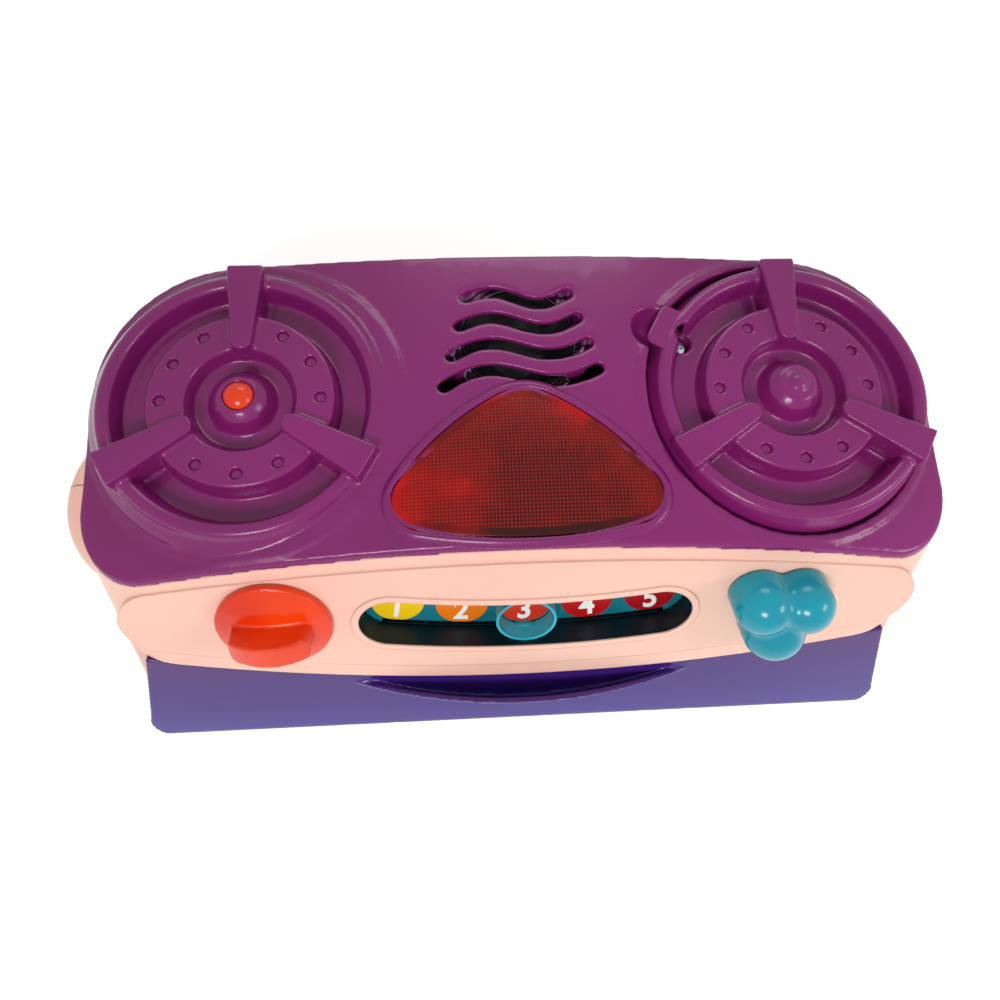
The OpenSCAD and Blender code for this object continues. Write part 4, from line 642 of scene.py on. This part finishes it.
outerInset = trayWallAndShadowShape["gap"]
innerInset = outerInset + trayWallAndShadowShape["thick"]
trayWallAndShadowRows = []
for inset, height in [(outerInset, trayWallAndShadowShape["low"]), (innerInset, trayWallAndShadowShape["low"]),
        (innerInset, trayWallAndShadowShape["high"]), (outerInset, trayWallAndShadowShape["high"])]:
    row = slotOutline(inset)
    flatRow = np.column_stack([row, np.full(len(row), height)]) * mm
    placed = np.column_stack([flatRow, np.ones(len(row))]) @ np.array(fasciaPlace).T
    trayWallAndShadowRows.append(placed[:, :3] / mm)
meshPiece("slotTrayWallAndShadow", np.concatenate(trayWallAndShadowRows), bandFaces(4, len(trayWallAndShadowRows[0])).tolist(),
    [finishes["darkTealTray"]], "housing", smooth=False)
print("slot lined")

# 1 for rays that see a surface: straight from the camera, mirrored, or through something clear
def seenRays(tree):
    path = addNode(tree, "LightPath")
    seen = path.outputs["Is Camera Ray"]
    for kind in ("Is Glossy Ray", "Is Transmission Ray"):
        seen = addNode(tree, "Math", [(seen, 0), (path.outputs[kind], 1)],
            operation="MAXIMUM").outputs["Value"]
    return seen


# Stage: white floor, soft lights and the camera of the photograph
studio = {"floorHalf": 3, "floorDrop": 0.0004, "floorLift": 0.45, "lightLevel": 0.42,
    "aim": (0, -0.02, 0.08), "panelRatio": 0.7}
half = studio["floorHalf"]
floorMesh = bpy.data.meshes.new("floorPlane")
floorMesh.from_pydata([(-half, -half, 0), (half, -half, 0), (half, half, 0), (-half, half, 0)],
    [], [(0, 1, 2, 3)])
floor = bpy.data.objects.new("floorPlane", floorMesh)
bpy.context.scene.collection.objects.link(floor)
floor.location.z = -studio["floorDrop"]
paper = mouldedPlastic("whitePaper", {"colour": "#f7f7f7", "deep": "#f2f2f2", "roughness": 0.8,
    "coat": 0.0, "driftMm": 400, "speckMm": 1.5, "grain": 0.05, "edgeMm": 0.1, "specular": 0.2})
floorMesh.materials.append(paper)
paperTree = paper.node_tree
lift = addNode(paperTree, "Math", [(seenRays(paperTree), 0)], operation="MULTIPLY")
lift.inputs[1].default_value = studio["floorLift"]  # enough to bring the lit floor to white
paperShader = paperTree.nodes["Principled BSDF"]
paperShader.inputs["Emission Color"].default_value = (1, 1, 1, 1)
paperTree.links.new(lift.outputs["Value"], paperShader.inputs["Emission Strength"])
floor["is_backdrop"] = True

world = bpy.data.worlds.new("studio")
bpy.context.scene.world = world
world.use_nodes = True
sky = world.node_tree
background = sky.nodes["Background"]
level = addNode(sky, "Mix", [(seenRays(sky), "Factor")], data_type="FLOAT")
level.inputs["A"].default_value = studio["lightLevel"]
level.inputs["B"].default_value = 1.0
sky.links.new(level.outputs["Result"], background.inputs["Strength"])
background.inputs["Color"].default_value = (1, 1, 1, 1)

lamps = {
    "keyPanel": {"at": (-0.2, -0.75, 0.8), "size": 0.34, "power": 5.5},
    "fillPanel": {"at": (0.75, -0.3, 0.55), "size": 0.3, "power": 1.6},
    "backPanel": {"at": (0.1, 0.8, 0.7), "size": 0.5, "power": 1.8},
}
for name, values in lamps.items():
    light = bpy.data.lights.new(name, "AREA")
    light.shape = "RECTANGLE"
    light.size = values["size"]
    light.size_y = values["size"] * studio["panelRatio"]
    light.energy = values["power"]
    lamp = bpy.data.objects.new(name, light)
    lamp.location = values["at"]
    aim = Vector(studio["aim"]) - Vector(values["at"])
    lamp.rotation_euler = aim.to_track_quat("-Z", "Y").to_euler()
    bpy.context.scene.collection.objects.link(lamp)

view = {"at": (-24.88, -110.37, 334.65), "forward": (0.05993, 0.28707, -0.95603),
    "right": (0.99771, -0.04739, 0.04831), "up": (0.03144, 0.95674, 0.28925), "lens": 27.31}
cameraData = bpy.data.cameras.new("photoCamera")
cameraData.lens = view["lens"]
cameraData.sensor_width = 36
cameraData.clip_start = 0.005
camera = bpy.data.objects.new("photoCamera", cameraData)
turn = Matrix((view["right"], view["up"], [-v for v in view["forward"]])).transposed()
camera.matrix_world = Matrix.Translation(Vector(view["at"]) * mm) @ turn.to_4x4()
bpy.context.scene.collection.objects.link(camera)
bpy.context.scene.camera = camera
bpy.context.scene.view_settings.view_transform = "Standard"
print("stage made")

low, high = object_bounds()
